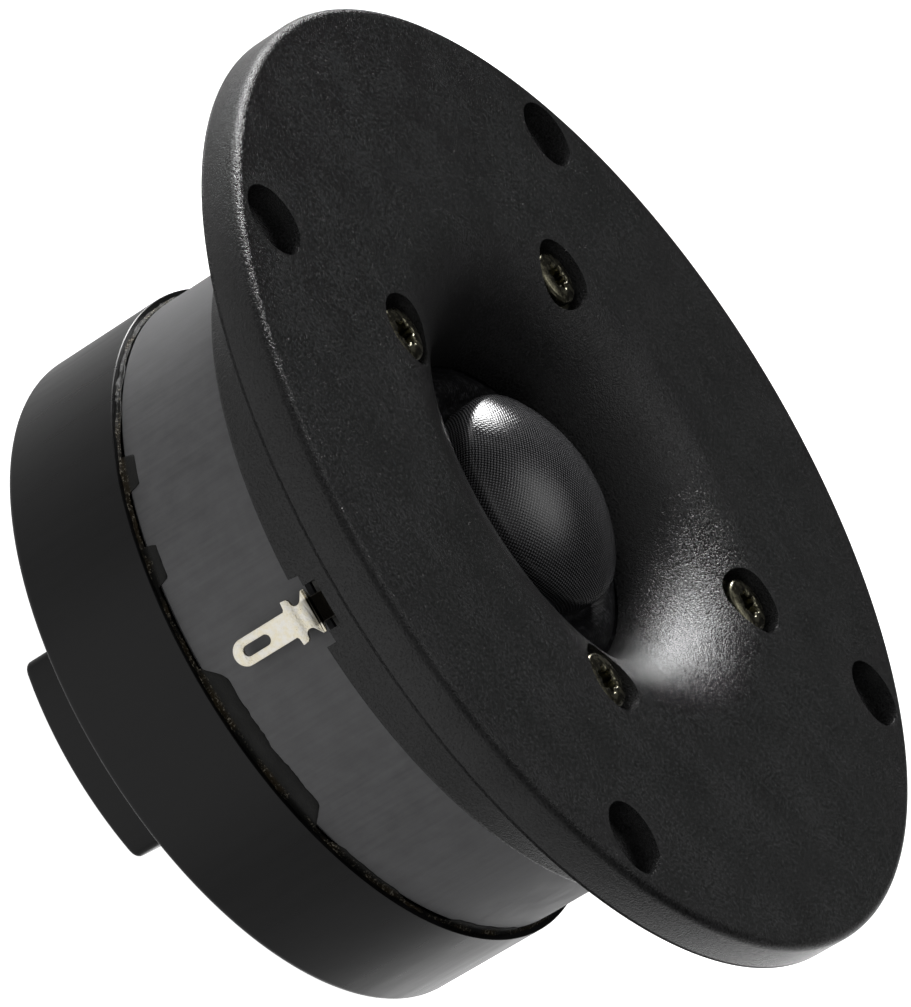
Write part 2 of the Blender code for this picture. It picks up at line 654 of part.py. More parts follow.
def eased(share):
    """Smooth start and stop between 0 and 1."""
    return share * share * (3.0 - 2.0 * share)


def make_lead_wire(name, side, parts, material):
    """Flexible lead-out from the coil former, under the carrier ring, to the tag's foot."""
    start_r = FORMER_OUTER_RADIUS + GAP + 2.0 * WIRE_RADIUS
    low_z = TOP_PLATE_FRONT_Z + WIRE_LIFT + WIRE_RADIUS
    start_z = DOME_FOOT_Z - SURROUND_INNER_DROP - SURROUND_THICKNESS - 3.0 * WIRE_RADIUS
    end_r = TAG_FACE_RADIUS - TAG_FOOT_LENGTH + WIRE_LAP
    end_z = TAG_FOOT_TOP_Z - TAG_THICKNESS - GAP - WIRE_RADIUS
    route = [(start_r, start_z)]
    for step in range(1, WIRE_BEND_STEPS + 1):
        share = step / WIRE_BEND_STEPS
        radius = start_r + (THROAT_RADIUS - GAP - start_r) * share
        route.append((radius, start_z + (low_z - start_z) * eased(share)))
    for step in range(WIRE_BEND_STEPS + 1):
        share = step / WIRE_BEND_STEPS
        radius = end_r - WIRE_RAMP * (1.0 - share)
        route.append((radius, low_z + (end_z - low_z) * eased(share)))
    curve = bpy.data.curves.new(name, "CURVE")
    curve.dimensions = "3D"
    curve.bevel_depth = WIRE_RADIUS
    curve.bevel_resolution = 1
    curve.use_fill_caps = True
    spline = curve.splines.new("POLY")
    spline.points.add(len(route) - 1)
    for point, (radius, height) in zip(spline.points, route):
        point.co = (0.0, side * radius, height, 1.0)
    curve.materials.append(material)
    wire = bpy.data.objects.new(name, curve)
    parts.objects.link(wire)


def make_terminals(parts, tools, tin, wire_material, rivet_material):
    for label, side in (("a", -1), ("b", 1)):
        make_tag(f"solder_tag_{label}", side, parts, tools, tin)
        make_rivet(f"tag_rivet_{label}", side, parts, rivet_material)
        make_lead_wire(f"lead_wire_{label}", side, parts, wire_material)


# ---------------------------------------------------------------- assembly

def build():
    clear_scene()
    parts = new_collection("dome_tweeter")
    tools = new_collection("cutters")
    moulding = make_material("black_moulding", (0.020, 0.020, 0.021), 0.55)
    cup_black = make_material("satin_black", (0.012, 0.012, 0.013), 0.35)
    screw_metal = make_material("bronze_zinc", (0.16, 0.15, 0.09), 0.28, 1.0)
    fabric = make_material("coated_fabric", (0.035, 0.035, 0.037), 0.45)
    paper = make_material("carrier_plastic", (0.06, 0.06, 0.06), 0.6)
    foil = make_material("former_foil", (0.55, 0.55, 0.56), 0.35, 1.0)
    copper = make_material("enamelled_copper", (0.55, 0.22, 0.09), 0.35, 1.0)
    steel = make_material("plated_steel", (0.40, 0.40, 0.38), 0.40, 1.0)
    ferrite = make_material("ferrite", (0.11, 0.11, 0.115), 0.50)
    felt = make_material("grey_felt", (0.30, 0.29, 0.27), 0.95)
    foam = make_material("charcoal_foam", (0.05, 0.05, 0.05), 0.95)
    tin = make_material("tinned_brass", (0.62, 0.58, 0.50), 0.35, 1.0)
    braid = make_material("tinsel_braid", (0.60, 0.35, 0.20), 0.45, 1.0)
    glue = make_material("dark_glue", (0.09, 0.08, 0.05), 0.35)

    make_front_plate(parts, tools, moulding)
    make_screws(parts, tools, screw_metal)
    make_dome(parts, fabric)
    make_surround(parts, fabric)
    make_carrier_ring(parts, tools, paper)
    make_voice_coil(parts, foil, copper)
    make_top_plate(parts, tools, steel)
    make_motor(parts, ferrite, steel, felt)
    make_rear_cup(parts, tools, cup_black)
    make_chamber_foam(parts, foam)
    make_glue_bead(parts, glue)
    make_terminals(parts, tools, tin, braid, steel)
    hide_tools(tools)


build()
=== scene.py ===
import math

import bmesh
import bpy
from mathutils import Matrix, Vector, noise


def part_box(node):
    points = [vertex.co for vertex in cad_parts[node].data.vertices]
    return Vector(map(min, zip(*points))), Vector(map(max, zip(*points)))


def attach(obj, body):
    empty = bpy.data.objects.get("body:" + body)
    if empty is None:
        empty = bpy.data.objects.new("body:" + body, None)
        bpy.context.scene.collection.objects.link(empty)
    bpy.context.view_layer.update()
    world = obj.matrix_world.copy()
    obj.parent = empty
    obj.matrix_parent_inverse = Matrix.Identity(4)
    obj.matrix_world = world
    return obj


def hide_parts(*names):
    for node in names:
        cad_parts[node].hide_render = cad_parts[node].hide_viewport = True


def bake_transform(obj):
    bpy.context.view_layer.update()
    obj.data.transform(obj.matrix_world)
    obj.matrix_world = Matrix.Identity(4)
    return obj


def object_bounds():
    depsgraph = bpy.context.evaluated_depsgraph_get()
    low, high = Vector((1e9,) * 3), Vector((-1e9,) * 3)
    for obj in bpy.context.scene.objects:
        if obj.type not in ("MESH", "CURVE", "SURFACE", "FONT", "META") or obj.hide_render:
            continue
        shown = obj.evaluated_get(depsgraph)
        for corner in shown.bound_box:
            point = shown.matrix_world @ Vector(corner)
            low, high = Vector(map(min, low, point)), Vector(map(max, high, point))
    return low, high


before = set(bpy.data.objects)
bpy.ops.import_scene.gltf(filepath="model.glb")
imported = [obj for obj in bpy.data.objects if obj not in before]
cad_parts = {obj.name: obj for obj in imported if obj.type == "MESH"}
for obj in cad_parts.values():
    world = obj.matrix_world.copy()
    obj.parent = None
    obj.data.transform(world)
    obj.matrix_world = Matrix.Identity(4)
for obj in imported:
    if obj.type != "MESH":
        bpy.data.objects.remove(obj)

CAD_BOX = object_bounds()

MM = 0.001

# --- Sizes read from the frame ---
PLATE_LOW, PLATE_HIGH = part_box("front_plate")
DOME_LOW, DOME_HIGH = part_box("dome")
SURROUND_LOW, SURROUND_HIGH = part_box("surround")
FERRITE_LOW, FERRITE_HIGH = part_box("ferrite_ring")
CUP_LOW, CUP_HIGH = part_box("rear_cup")
TOP_PLATE_LOW, TOP_PLATE_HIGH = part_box("top_plate")
FRONT_Z = PLATE_HIGH.z
SKIRT_REAR_Z = PLATE_LOW.z
PLATE_RADIUS = PLATE_HIGH.x
DOME_RADIUS = DOME_HIGH.x
FERRITE_RADIUS = FERRITE_HIGH.x
CUP_RADIUS = CUP_HIGH.x
LIP_OUTER_RADIUS = SURROUND_HIGH.x

# --- Front plate features ---
PLATE_EDGE_RADIUS = 1.2 * MM
PLATE_REAR_STEP = 0.36 * MM
PLATE_REAR_UNDERCUT = 0.22 * MM
FLANGE_THICKNESS = 5.6 * MM
HORN_MOUTH_RADIUS = 36.5 * MM
HORN_FLARE_RADIUS = 15.5 * MM
HORN_DEPTH = 12.4 * MM
SKIRT_WALL = 3.3 * MM
SKIRT_CLEARANCE = 0.6 * MM
SKIRT_CHAMFER = 0.5 * MM
MOUNT_CIRCLE_RADIUS = 60.3 * MM
MOUNT_HOLE_RADIUS = 2.4 * MM
MOUNT_BORE_RADIUS = 4.88 * MM
MOUNT_BORE_DEPTH = 3.45 * MM
SCREW_CIRCLE_RADIUS = 34.6 * MM
SCREW_BORE_RADIUS = 4.95 * MM
SCREW_BORE_DEPTH = 3.6 * MM
SCREW_HOLE_RADIUS = 2.3 * MM
# Gap between neighbouring pieces.
GAP = 0.3 * MM

THROAT_Z = FRONT_Z - HORN_DEPTH
THROAT_SLOPE = math.acos(1.0 - HORN_DEPTH / HORN_FLARE_RADIUS)
THROAT_RADIUS = HORN_MOUTH_RADIUS - HORN_FLARE_RADIUS * math.sin(THROAT_SLOPE)
SKIRT_INNER_RADIUS = FERRITE_RADIUS + SKIRT_CLEARANCE
SKIRT_RADIUS = SKIRT_INNER_RADIUS + SKIRT_WALL
SEAT_Z = TOP_PLATE_HIGH.z + GAP
RECESS_RADIUS = LIP_OUTER_RADIUS + GAP


# ---------------------------------------------------------------- camera and light

CAMERA_AIM = Vector((-4.9 * MM, -0.3 * MM, 46.7 * MM))
CAMERA_DISTANCE = 785.0 * MM
CAMERA_AZIMUTH = 3.474
CAMERA_ELEVATION = 25.327
CAMERA_ROLL = 58.28
CAMERA_LENS = 221.8
SENSOR_WIDTH = 36.0
CAMERA_CLIP = (0.05, 20.0)


def toward(azimuth, elevation):
    """Unit vector to a place round the object: azimuth 0 is on -Y, 90 on +X."""
    a, e = math.radians(azimuth), math.radians(elevation)
    return Vector((math.sin(a) * math.cos(e), -math.cos(a) * math.cos(e), math.sin(e)))


def add_camera():
    data = bpy.data.cameras.new("camera")
    data.lens = CAMERA_LENS
    data.sensor_width = SENSOR_WIDTH
    data.clip_start, data.clip_end = CAMERA_CLIP
    camera = bpy.data.objects.new("camera", data)
    bpy.context.scene.collection.objects.link(camera)
    back = toward(CAMERA_AZIMUTH, CAMERA_ELEVATION)
    upright = (-back).to_track_quat("-Z", "Y").to_matrix().to_4x4()
    roll = Matrix.Rotation(math.radians(CAMERA_ROLL), 4, "Z")
    place = Matrix.Translation(CAMERA_AIM + back * CAMERA_DISTANCE)
    camera.matrix_world = place @ upright @ roll
    bpy.context.scene.camera = camera


# Each panel of the light tent: azimuth and elevation, the half angle at full strength, the half
# angle at which it has faded out, and the strength. Angles are in degrees, as in toward().
TENT_PANELS = [
    (224.0, 18.0, 6.0, 12.0, 46.0),
    (234.0, -6.0, 7.0, 18.0, 5.0),
    (250.0, 14.0, 5.0, 20.0, 3.0),
    (176.0, 70.0, 6.0, 24.0, 2.3),
    (345.0, 58.0, 10.0, 36.0, 0.6),
    (158.0, -26.0, 12.0, 38.0, 1.05),
    (0.0, -28.0, 20.0, 52.0, 0.5),
    (300.0, 14.0, 5.0, 20.0, 1.0),
    (58.0, 14.0, 5.0, 20.0, 0.8),
]
TENT_AMBIENT = 0.040
TABLE_LIGHT = 0.55
# The pale table fades out between these two elevations.
TABLE_FADE = (-18.0, -4.0)


def add_world():
    """A dark tent with a few bright panels over a pale table, and a white backdrop."""
    world = bpy.data.worlds.new("light_tent")
    world.use_nodes = True
    tree = world.node_tree
    tree.nodes.clear()

    def cosine_to(direction):
        dot = tree.nodes.new("ShaderNodeVectorMath")
        dot.operation = "DOT_PRODUCT"
        dot.inputs[1].default_value = direction
        tree.links.new(coords.outputs["Generated"], dot.inputs[0])
        return dot.outputs["Value"]

    def fade(value, dark_at, light_at, strength):
        made = tree.nodes.new("ShaderNodeMapRange")
        made.interpolation_type = "SMOOTHSTEP"
        made.inputs["From Min"].default_value = dark_at
        made.inputs["From Max"].default_value = light_at
        made.inputs["To Max"].default_value = strength
        tree.links.new(value, made.inputs["Value"])
        return made.outputs["Result"]

    coords = tree.nodes.new("ShaderNodeTexCoord")
    full, gone = (math.sin(math.radians(limit)) for limit in TABLE_FADE)
    lights = [fade(cosine_to((0.0, 0.0, -1.0)), -gone, -full, TABLE_LIGHT)]
    for azimuth, elevation, inner, outer, strength in TENT_PANELS:
        lights.append(fade(cosine_to(toward(azimuth, elevation)),
                           math.cos(math.radians(outer)), math.cos(math.radians(inner)),
                           strength))
    total = None
    for light in lights:
        join = tree.nodes.new("ShaderNodeMath")
        join.operation = "ADD"
        join.inputs[1].default_value = TENT_AMBIENT
        tree.links.new(light, join.inputs[0])
        if total is not None:
            tree.links.new(total, join.inputs[1])
        total = join.outputs[0]
    tent = tree.nodes.new("ShaderNodeBackground")
    tree.links.new(total, tent.inputs["Strength"])
    backdrop = tree.nodes.new("ShaderNodeBackground")
    seen = tree.nodes.new("ShaderNodeLightPath")
    mix = tree.nodes.new("ShaderNodeMixShader")
    out = tree.nodes.new("ShaderNodeOutputWorld")
    backdrop.inputs["Color"].default_value = (1.0, 1.0, 1.0, 1.0)
    tree.links.new(seen.outputs["Is Camera Ray"], mix.inputs[0])
    tree.links.new(tent.outputs[0], mix.inputs[1])
    tree.links.new(backdrop.outputs[0], mix.inputs[2])
    tree.links.new(mix.outputs[0], out.inputs["Surface"])
    bpy.context.scene.world = world


FLOOR_HALF_WIDTH = 4.0
FLOOR_DROP = 0.05 * MM
FLOOR_GLOW = 1.1


def add_floor():
    """A pale floor that only the camera sees, just under the object."""
    mesh = bpy.data.meshes.new("floor")
    shape = bmesh.new()
    bmesh.ops.create_grid(shape, x_segments=1, y_segments=1, size=FLOOR_HALF_WIDTH)
    shape.to_mesh(mesh)
    shape.free()
    floor = bpy.data.objects.new("floor", mesh)
    bpy.context.scene.collection.objects.link(floor)
    floor.location = (0.0, 0.0, CAD_BOX[0].z - FLOOR_DROP)
    material = bpy.data.materials.new("floor")
    material.use_nodes = True
    shader = material.node_tree.nodes["Principled BSDF"]
    shader.inputs["Base Color"].default_value = (0.8, 0.8, 0.8, 1.0)
    shader.inputs["Roughness"].default_value = 0.9
    shader.inputs["Emission Color"].default_value = (1.0, 1.0, 1.0, 1.0)
    shader.inputs["Emission Strength"].default_value = FLOOR_GLOW
    mesh.materials.append(material)
    floor.visible_glossy = False
    floor.visible_diffuse = False
    floor.visible_shadow = False


# ---------------------------------------------------------------- mesh helpers

ON_AXIS = 1e-7


def arc(centre, radius, start_deg, end_deg, steps):
    """Points round an arc, both ends included."""
    points = []
    for step in range(steps + 1):
        angle = math.radians(start_deg + (end_deg - start_deg) * step / steps)
        points.append((centre[0] + radius * math.cos(angle),
                       centre[1] + radius * math.sin(angle)))
    return points


def straight(first, last, steps):
    """Points from first up to, and without, last."""
    return [(first[0] + (last[0] - first[0]) * k / steps,
             first[1] + (last[1] - first[1]) * k / steps) for k in range(steps)]


def object_from(shape, name, material=None):
    mesh = bpy.data.meshes.new(name)
    shape.to_mesh(mesh)
    shape.free()
    obj = bpy.data.objects.new(name, mesh)
    bpy.context.scene.collection.objects.link(obj)
    if material is not None:
        mesh.materials.append(material)
    return obj


def revolve(profile, steps, closed=True):
    """A bmesh turned about Z from (radius, height) points down the outer side."""
    shape = bmesh.new()
    rings = []
    for radius, height in profile:
        if radius < ON_AXIS:
            rings.append([shape.verts.new((0.0, 0.0, height))])
            continue
        verts = []
        for step in range(steps):
            angle = 2.0 * math.pi * step / steps
            verts.append(shape.verts.new((radius * math.cos(angle), radius * math.sin(angle),
                                          height)))
        rings.append(verts)
    pairs = list(zip(rings, rings[1:]))
    if closed:
        pairs.append((rings[-1], rings[0]))
    for upper, lower in pairs:
        for step in range(steps):
            nxt = (step + 1) % steps
            if len(upper) == 1:
                shape.faces.new((upper[0], lower[step], lower[nxt]))
            elif len(lower) == 1:
                shape.faces.new((upper[nxt], upper[step], lower[0]))
            else:
                shape.faces.new((upper[step], lower[step], lower[nxt], upper[nxt]))
    return shape


def smooth(obj, angle_deg=30.0):
    obj.data.shade_smooth()
    obj.data.set_sharp_from_angle(angle=math.radians(angle_deg))


def bake_modifiers(obj):
    """Replace the mesh with the one that its modifiers make."""
    graph = bpy.context.evaluated_depsgraph_get()
    bpy.context.view_layer.update()
    mesh = bpy.data.meshes.new_from_object(obj.evaluated_get(graph), depsgraph=graph)
    mesh.name = obj.name
    obj.modifiers.clear()
    obj.data = mesh


def cut(obj, tools):
    """Take the tools away from the object, then delete them."""
    for tool in tools:
        modifier = obj.modifiers.new(tool.name, "BOOLEAN")
        modifier.operation = "DIFFERENCE"
        modifier.solver = "EXACT"
        modifier.object = tool
    bake_modifiers(obj)
    for tool in tools:
        bpy.data.objects.remove(tool, do_unlink=True)


def round_edges(obj, width, segments=2, angle_deg=40.0):
    bevel = obj.modifiers.new("round", "BEVEL")
    bevel.width = width
    bevel.segments = segments
    bevel.limit_method = "ANGLE"
    bevel.angle_limit = math.radians(angle_deg)
    bevel.use_clamp_overlap = True
    bevel.miter_outer = "MITER_ARC"
    bake_modifiers(obj)


def spots(radius, count=4):
    """Centres spread evenly on a circle, half a step round from +X."""
    places = []
    for index in range(count):
        angle = 2.0 * math.pi * (index + 0.5) / count
        places.append(Vector((radius * math.cos(angle), radius * math.sin(angle), 0.0)))
    return places


def finish_piece(obj, body, node):
    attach(obj, body)
    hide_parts(node)


# ---------------------------------------------------------------- material helpers

class Graph:
    """Short names for the node calls that every material here makes."""

    # Places of the colour sockets on a Mix node.
    MIX_FIRST = 6
    MIX_SECOND = 7
    MIX_RESULT = 2

    def __init__(self, name):
        self.material = bpy.data.materials.new(name)
        self.material.use_nodes = True
        self.tree = self.material.node_tree
        self.shader = self.tree.nodes["Principled BSDF"]

    def node(self, kind, **settings):
        made = self.tree.nodes.new(kind)
        for key, value in settings.items():
            setattr(made, key, value)
        return made

    def link(self, source, target):
        self.tree.links.new(source, target)

    def set(self, **values):
        for key, value in values.items():
            socket = self.shader.inputs[key.replace("_", " ")]
            socket.default_value = (*value, 1.0) if isinstance(value, tuple) else value

    def coords(self, scale=(1.0, 1.0, 1.0)):
        source = self.node("ShaderNodeTexCoord")
        mapping = self.node("ShaderNodeMapping")
        mapping.inputs["Scale"].default_value = scale
        self.link(source.outputs["Object"], mapping.inputs["Vector"])
        return mapping.outputs["Vector"]

    def noise(self, size, detail, rough, coords=None):
        """Noise whose blobs are about this size, in metres."""
        made = self.node("ShaderNodeTexNoise")
        made.inputs["Scale"].default_value = 1.0 / size
        made.inputs["Detail"].default_value = detail
        made.inputs["Roughness"].default_value = rough
        self.link(coords or self.coords(), made.inputs["Vector"])
        return made.outputs["Fac"]

    def math(self, operation, first, second=None, third=None):
        made = self.node("ShaderNodeMath", operation=operation)
        for socket, value in zip(made.inputs, (first, second, third)):
            if value is None:
                continue
            if isinstance(value, (int, float)):
                socket.default_value = value
            else:
                self.link(value, socket)
        return made.outputs[0]

    def mean(self, first, second, share):
        """Mix of two values, with this share of the first."""
        return self.math("ADD", self.math("MULTIPLY", first, share),
                         self.math("MULTIPLY", second, 1.0 - share))

    def split(self, vector):
        made = self.node("ShaderNodeSeparateXYZ")
        self.link(vector, made.inputs[0])
        return made.outputs

    def span(self, value, low, high, to_low=0.0, to_high=1.0):
        """The value stretched so that low..high runs over to_low..to_high, clamped."""
        made = self.node("ShaderNodeMapRange")
        for name, number in (("From Min", low), ("From Max", high),
                             ("To Min", to_low), ("To Max", to_high)):
            made.inputs[name].default_value = number
        self.link(value, made.inputs["Value"])
        return made.outputs["Result"]

    def blend(self, factor, first, second):
        """A colour from first to second; each is a colour or another node's output."""
        made = self.node("ShaderNodeMix", data_type="RGBA")
        self.link(factor, made.inputs["Factor"])
        for index, value in ((self.MIX_FIRST, first), (self.MIX_SECOND, second)):
            if isinstance(value, tuple):
                made.inputs[index].default_value = (*value, 1.0)
            else:
                self.link(value, made.inputs[index])
        return made.outputs[self.MIX_RESULT]

    def bump(self, height, strength, distance):
        made = self.node("ShaderNodeBump")
        made.inputs["Strength"].default_value = strength
        made.inputs["Distance"].default_value = distance
        self.link(height, made.inputs["Height"])
        return made.outputs["Normal"]

    def to(self, value, name):
        self.link(value, self.shader.inputs[name])


# ---------------------------------------------------------------- materials

def moulding_material():
    """Spark-eroded black moulding: a fine grain over slow, faint changes of tone."""
    g = Graph("moulding")
    grain = g.noise(0.30 * MM, 2.0, 0.5)
    fine = g.noise(0.15 * MM, 1.0, 0.5)
    slow = g.noise(9.0 * MM, 3.0, 0.6)
    tone = g.mean(grain, slow, 0.65)
    g.to(g.blend(g.span(tone, 0.40, 0.60), (0.0080, 0.0080, 0.0082), (0.0240, 0.0240, 0.0245)),
         "Base Color")
    g.to(g.span(grain, 0.3, 0.7, 0.17, 0.24), "Roughness")
    relief = g.math("ADD", grain, g.math("MULTIPLY", fine, 0.45))
    g.to(g.bump(relief, 1.0, 0.11 * MM), "Normal")
    g.set(Specular_IOR_Level=0.36)
    return g.material


def cup_material():
    """Smooth satin black with a very slight waviness and a few faint wipe marks."""
    g = Graph("cup")
    wave = g.noise(5.0 * MM, 2.0, 0.5)
    streak = g.noise(2.2 * MM, 3.0, 0.6, g.coords((1.0, 1.0, 0.12)))
    g.to(g.blend(g.span(streak, 0.35, 0.7), (0.0060, 0.0060, 0.0062), (0.0090, 0.0090, 0.0094)),
         "Base Color")
    g.to(g.span(streak, 0.3, 0.75, 0.26, 0.36), "Roughness")
    g.to(g.bump(wave, 0.10, 0.3 * MM), "Normal")
    g.set(Specular_IOR_Level=0.25)
    return g.material


def ferrite_material():
    """Ground ceramic magnet: mottled grey with fine upright grinding streaks."""
    g = Graph("ferrite")
    mottle = g.noise(3.2 * MM, 4.0, 0.65)
    streak = g.noise(0.7 * MM, 3.0, 0.6, g.coords((1.0, 1.0, 0.06)))
    grit = g.noise(0.22 * MM, 2.0, 0.6)
    tone = g.mean(mottle, streak, 0.55)
    g.to(g.blend(g.span(tone, 0.36, 0.64), (0.100, 0.100, 0.103), (0.145, 0.145, 0.149)),
         "Base Color")
    g.to(g.span(tone, 0.3, 0.7, 0.42, 0.60), "Roughness")
    relief = g.mean(streak, grit, 0.6)
    g.to(g.bump(relief, 0.30, 0.05 * MM), "Normal")
    return g.material


WEAVE_PITCH = 0.40 * MM
WEAVE_TURN = 45.0
WEAVE_SWING = 0.35
SURROUND_WEAVE_PITCH = 0.55 * MM


def weave_height(g, coords, pitch):
    """Height of a plain weave: threads along U and V that pass over and under."""
    place = g.split(coords)
    across = g.math("SINE", g.math("MULTIPLY", place["X"], math.pi / pitch))
    along = g.math("SINE", g.math("MULTIPLY", place["Y"], math.pi / pitch))
    check = g.math("MULTIPLY", across, along)
    swing, mean = WEAVE_SWING, 1.0 - WEAVE_SWING
    over = g.math("MULTIPLY_ADD", check, swing, mean)
    under = g.math("MULTIPLY_ADD", check, -swing, mean)
    warp = g.math("MULTIPLY", g.math("ABSOLUTE", across), over)
    weft = g.math("MULTIPLY", g.math("ABSOLUTE", along), under)
    return g.math("MAXIMUM", warp, weft)


def dome_material():
    """Woven dome with a tacky damping coat that fills the weave more in some places."""
    g = Graph("dome_fabric")
    turn = g.node("ShaderNodeMapping")
    turn.inputs["Rotation"].default_value = (0.0, 0.0, math.radians(WEAVE_TURN))
    source = g.node("ShaderNodeTexCoord")
    g.link(source.outputs["UV"], turn.inputs["Vector"])
    weave = weave_height(g, turn.outputs["Vector"], WEAVE_PITCH)
    patch = g.noise(2.4 * MM, 3.0, 0.6)
    speck = g.noise(0.35 * MM, 2.0, 0.6)
    # The weave's colour runs from near black in the gaps to light on the thread crowns: painted
    # shade in the gaps and painted highlight on the crowns.
    g.to(g.blend(g.span(weave, 0.55, 0.98), (0.005, 0.005, 0.006), (0.175, 0.175, 0.182)),
         "Base Color")
    g.to(g.span(patch, 0.35, 0.65, 0.13, 0.20), "Roughness")
    relief = g.math("ADD", weave, g.math("MULTIPLY", speck, 0.30))
    g.to(g.bump(relief, 0.9, 0.022 * MM), "Normal")
    g.set(Specular_IOR_Level=0.40)
    return g.material


def surround_material():
    """Coated fabric of the half roll: a coarser weave, nearly black, with faint blots."""
    g = Graph("surround_fabric")
    weave = weave_height(g, g.coords(), SURROUND_WEAVE_PITCH)
    speck = g.noise(0.45 * MM, 3.0, 0.65)
    patch = g.noise(1.8 * MM, 2.0, 0.5)
    tone = g.mean(speck, patch, 0.6)
    g.to(g.blend(g.span(tone, 0.50, 0.66), (0.0025, 0.0025, 0.003), (0.034, 0.034, 0.036)),
         "Base Color")
    g.set(Roughness=0.55, Specular_IOR_Level=0.06)
    relief = g.math("ADD", g.math("MULTIPLY", weave, 0.6), speck)
    g.to(g.bump(relief, 0.8, 0.05 * MM), "Normal")
    return g.material


def screw_material():
    """Olive-bronze passivated zinc with darker stains."""
    g = Graph("screw")
    stain = g.noise(1.1 * MM, 4.0, 0.6)
    fine = g.noise(0.18 * MM, 2.0, 0.5)
    g.to(g.blend(g.span(stain, 0.36, 0.62), (0.070, 0.064, 0.044), (0.230, 0.220, 0.155)),
         "Base Color")
    g.to(g.span(stain, 0.3, 0.7, 0.20, 0.34), "Roughness")
    g.to(g.bump(fine, 0.25, 0.05 * MM), "Normal")
    g.set(Metallic=1.0)
    return g.material


def tin_material():
    """Dull tin over brass, mottled and warm, with painted shade on the neck where it enters its
    pocket.
    """
    g = Graph("tin")
    mottle = g.noise(0.9 * MM, 4.0, 0.65)
    fine = g.noise(0.20 * MM, 3.0, 0.6)
    bright = g.blend(g.span(mottle, 0.40, 0.60), (0.93, 0.86, 0.68), (0.99, 0.96, 0.88))
    place = g.split(g.coords())
    # Painted shade: the neck is darkened from just below the skirt's rear edge up into the
    # pocket, only between the tabs.
    pocket_shade = g.span(place["Z"], SKIRT_REAR_Z - 0.9 * MM, SKIRT_REAR_Z + 0.5 * MM)
    off_centre = g.math("ABSOLUTE", place["X"])
    neck = g.span(off_centre, TAG_NECK_HALF, TAG_NECK_HALF + 0.3 * MM, 1.0, 0.0)
    g.to(g.blend(g.math("MULTIPLY", pocket_shade, neck), bright, (0.030, 0.026, 0.020)), "Base Color")
    g.to(g.span(mottle, 0.3, 0.7, 0.26, 0.40), "Roughness")
    g.to(g.bump(fine, 0.7, 0.08 * MM), "Normal")
    g.set(Metallic=0.95)
    return g.material


def steel_material():
    """Blackened steel of the magnet's plates and the tag rivets, slightly mottled."""
    g = Graph("steel")
    mottle = g.noise(0.5 * MM, 3.0, 0.6)
    g.to(g.blend(g.span(mottle, 0.35, 0.65), (0.030, 0.030, 0.029), (0.060, 0.060, 0.057)),
         "Base Color")
    g.to(g.span(mottle, 0.3, 0.7, 0.32, 0.46), "Roughness")
    g.set(Metallic=1.0)
    return g.material


def glue_material():
    """Dark adhesive: smooth runs, with brown and pale grit stuck along the seam."""
    g = Graph("glue")
    grit = g.noise(0.35 * MM, 4.0, 0.7)
    patch = g.noise(4.0 * MM, 2.0, 0.5)
    seam = CUP_HIGH.z
    height = g.split(g.coords())["Z"]
    near_seam = g.span(height, seam + 0.4 * MM, seam + 0.9 * MM, 1.0, 0.0)
    pale = g.math("MULTIPLY", g.span(grit, 0.56, 0.63), g.span(patch, 0.38, 0.52))
    base = g.blend(g.span(patch, 0.45, 0.62), (0.008, 0.008, 0.007), (0.040, 0.030, 0.016))
    seam_tone = g.blend(pale, base, (0.42, 0.38, 0.30))
    g.to(g.blend(near_seam, (0.030, 0.030, 0.029), seam_tone), "Base Color")
    g.to(g.span(patch, 0.4, 0.6, 0.48, 0.70), "Roughness")
    g.set(Specular_IOR_Level=0.14)
    g.to(g.bump(grit, 0.6, 0.14 * MM), "Normal")
    return g.material


def plain_material(name, dark, light, roughness, size, metallic, relief):
    """A two-tone material for the pieces inside the housing."""
    g = Graph(name)
    tone = g.noise(size, 3.0, 0.6)
    g.to(g.blend(g.span(tone, 0.35, 0.65), dark, light), "Base Color")
    g.to(g.span(tone, 0.3, 0.7, roughness - 0.06, roughness + 0.06), "Roughness")
    g.to(g.bump(tone, relief, 0.5 * size), "Normal")
    g.set(Metallic=metallic)
    return g.material


# ---------------------------------------------------------------- front plate

PLATE_STEPS = 256
BORE_STEPS = 64
EDGE_ROUNDING = 0.14 * MM
SHARP_ANGLE = 32.0
CUTTER_OVERRUN = 4.0 * MM
NOTCH_OVERRUN = 2.0 * MM


def plate_profile():
    """Section of the plate, from the horn's mouth out over the rim and back up the throat."""
    edge = PLATE_EDGE_RADIUS
    flange_rear = FRONT_Z - FLANGE_THICKNESS
    centre = (HORN_MOUTH_RADIUS, FRONT_Z - HORN_FLARE_RADIUS)
    throat = 90.0 + math.degrees(THROAT_SLOPE)
    profile = arc((PLATE_RADIUS - edge, FRONT_Z - edge), edge, 90.0, 0.0, 8)
    profile += [
        (PLATE_RADIUS, flange_rear + PLATE_REAR_STEP),
        (PLATE_RADIUS - PLATE_REAR_UNDERCUT, flange_rear + PLATE_REAR_STEP),
        (PLATE_RADIUS, flange_rear),
        (SKIRT_RADIUS, flange_rear),
        (SKIRT_RADIUS, SKIRT_REAR_Z + SKIRT_CHAMFER),
    ]
    profile += arc((SKIRT_RADIUS - SKIRT_CHAMFER, SKIRT_REAR_Z + SKIRT_CHAMFER),
                   SKIRT_CHAMFER, 0.0, -90.0, 4)[1:]
    profile += [
        (SKIRT_INNER_RADIUS, SKIRT_REAR_Z),
        (SKIRT_INNER_RADIUS, SEAT_Z),
        (RECESS_RADIUS, SEAT_Z),
        (RECESS_RADIUS, THROAT_Z),
    ]
    profile += arc(centre, HORN_FLARE_RADIUS, throat, 90.0, 28)
    return profile


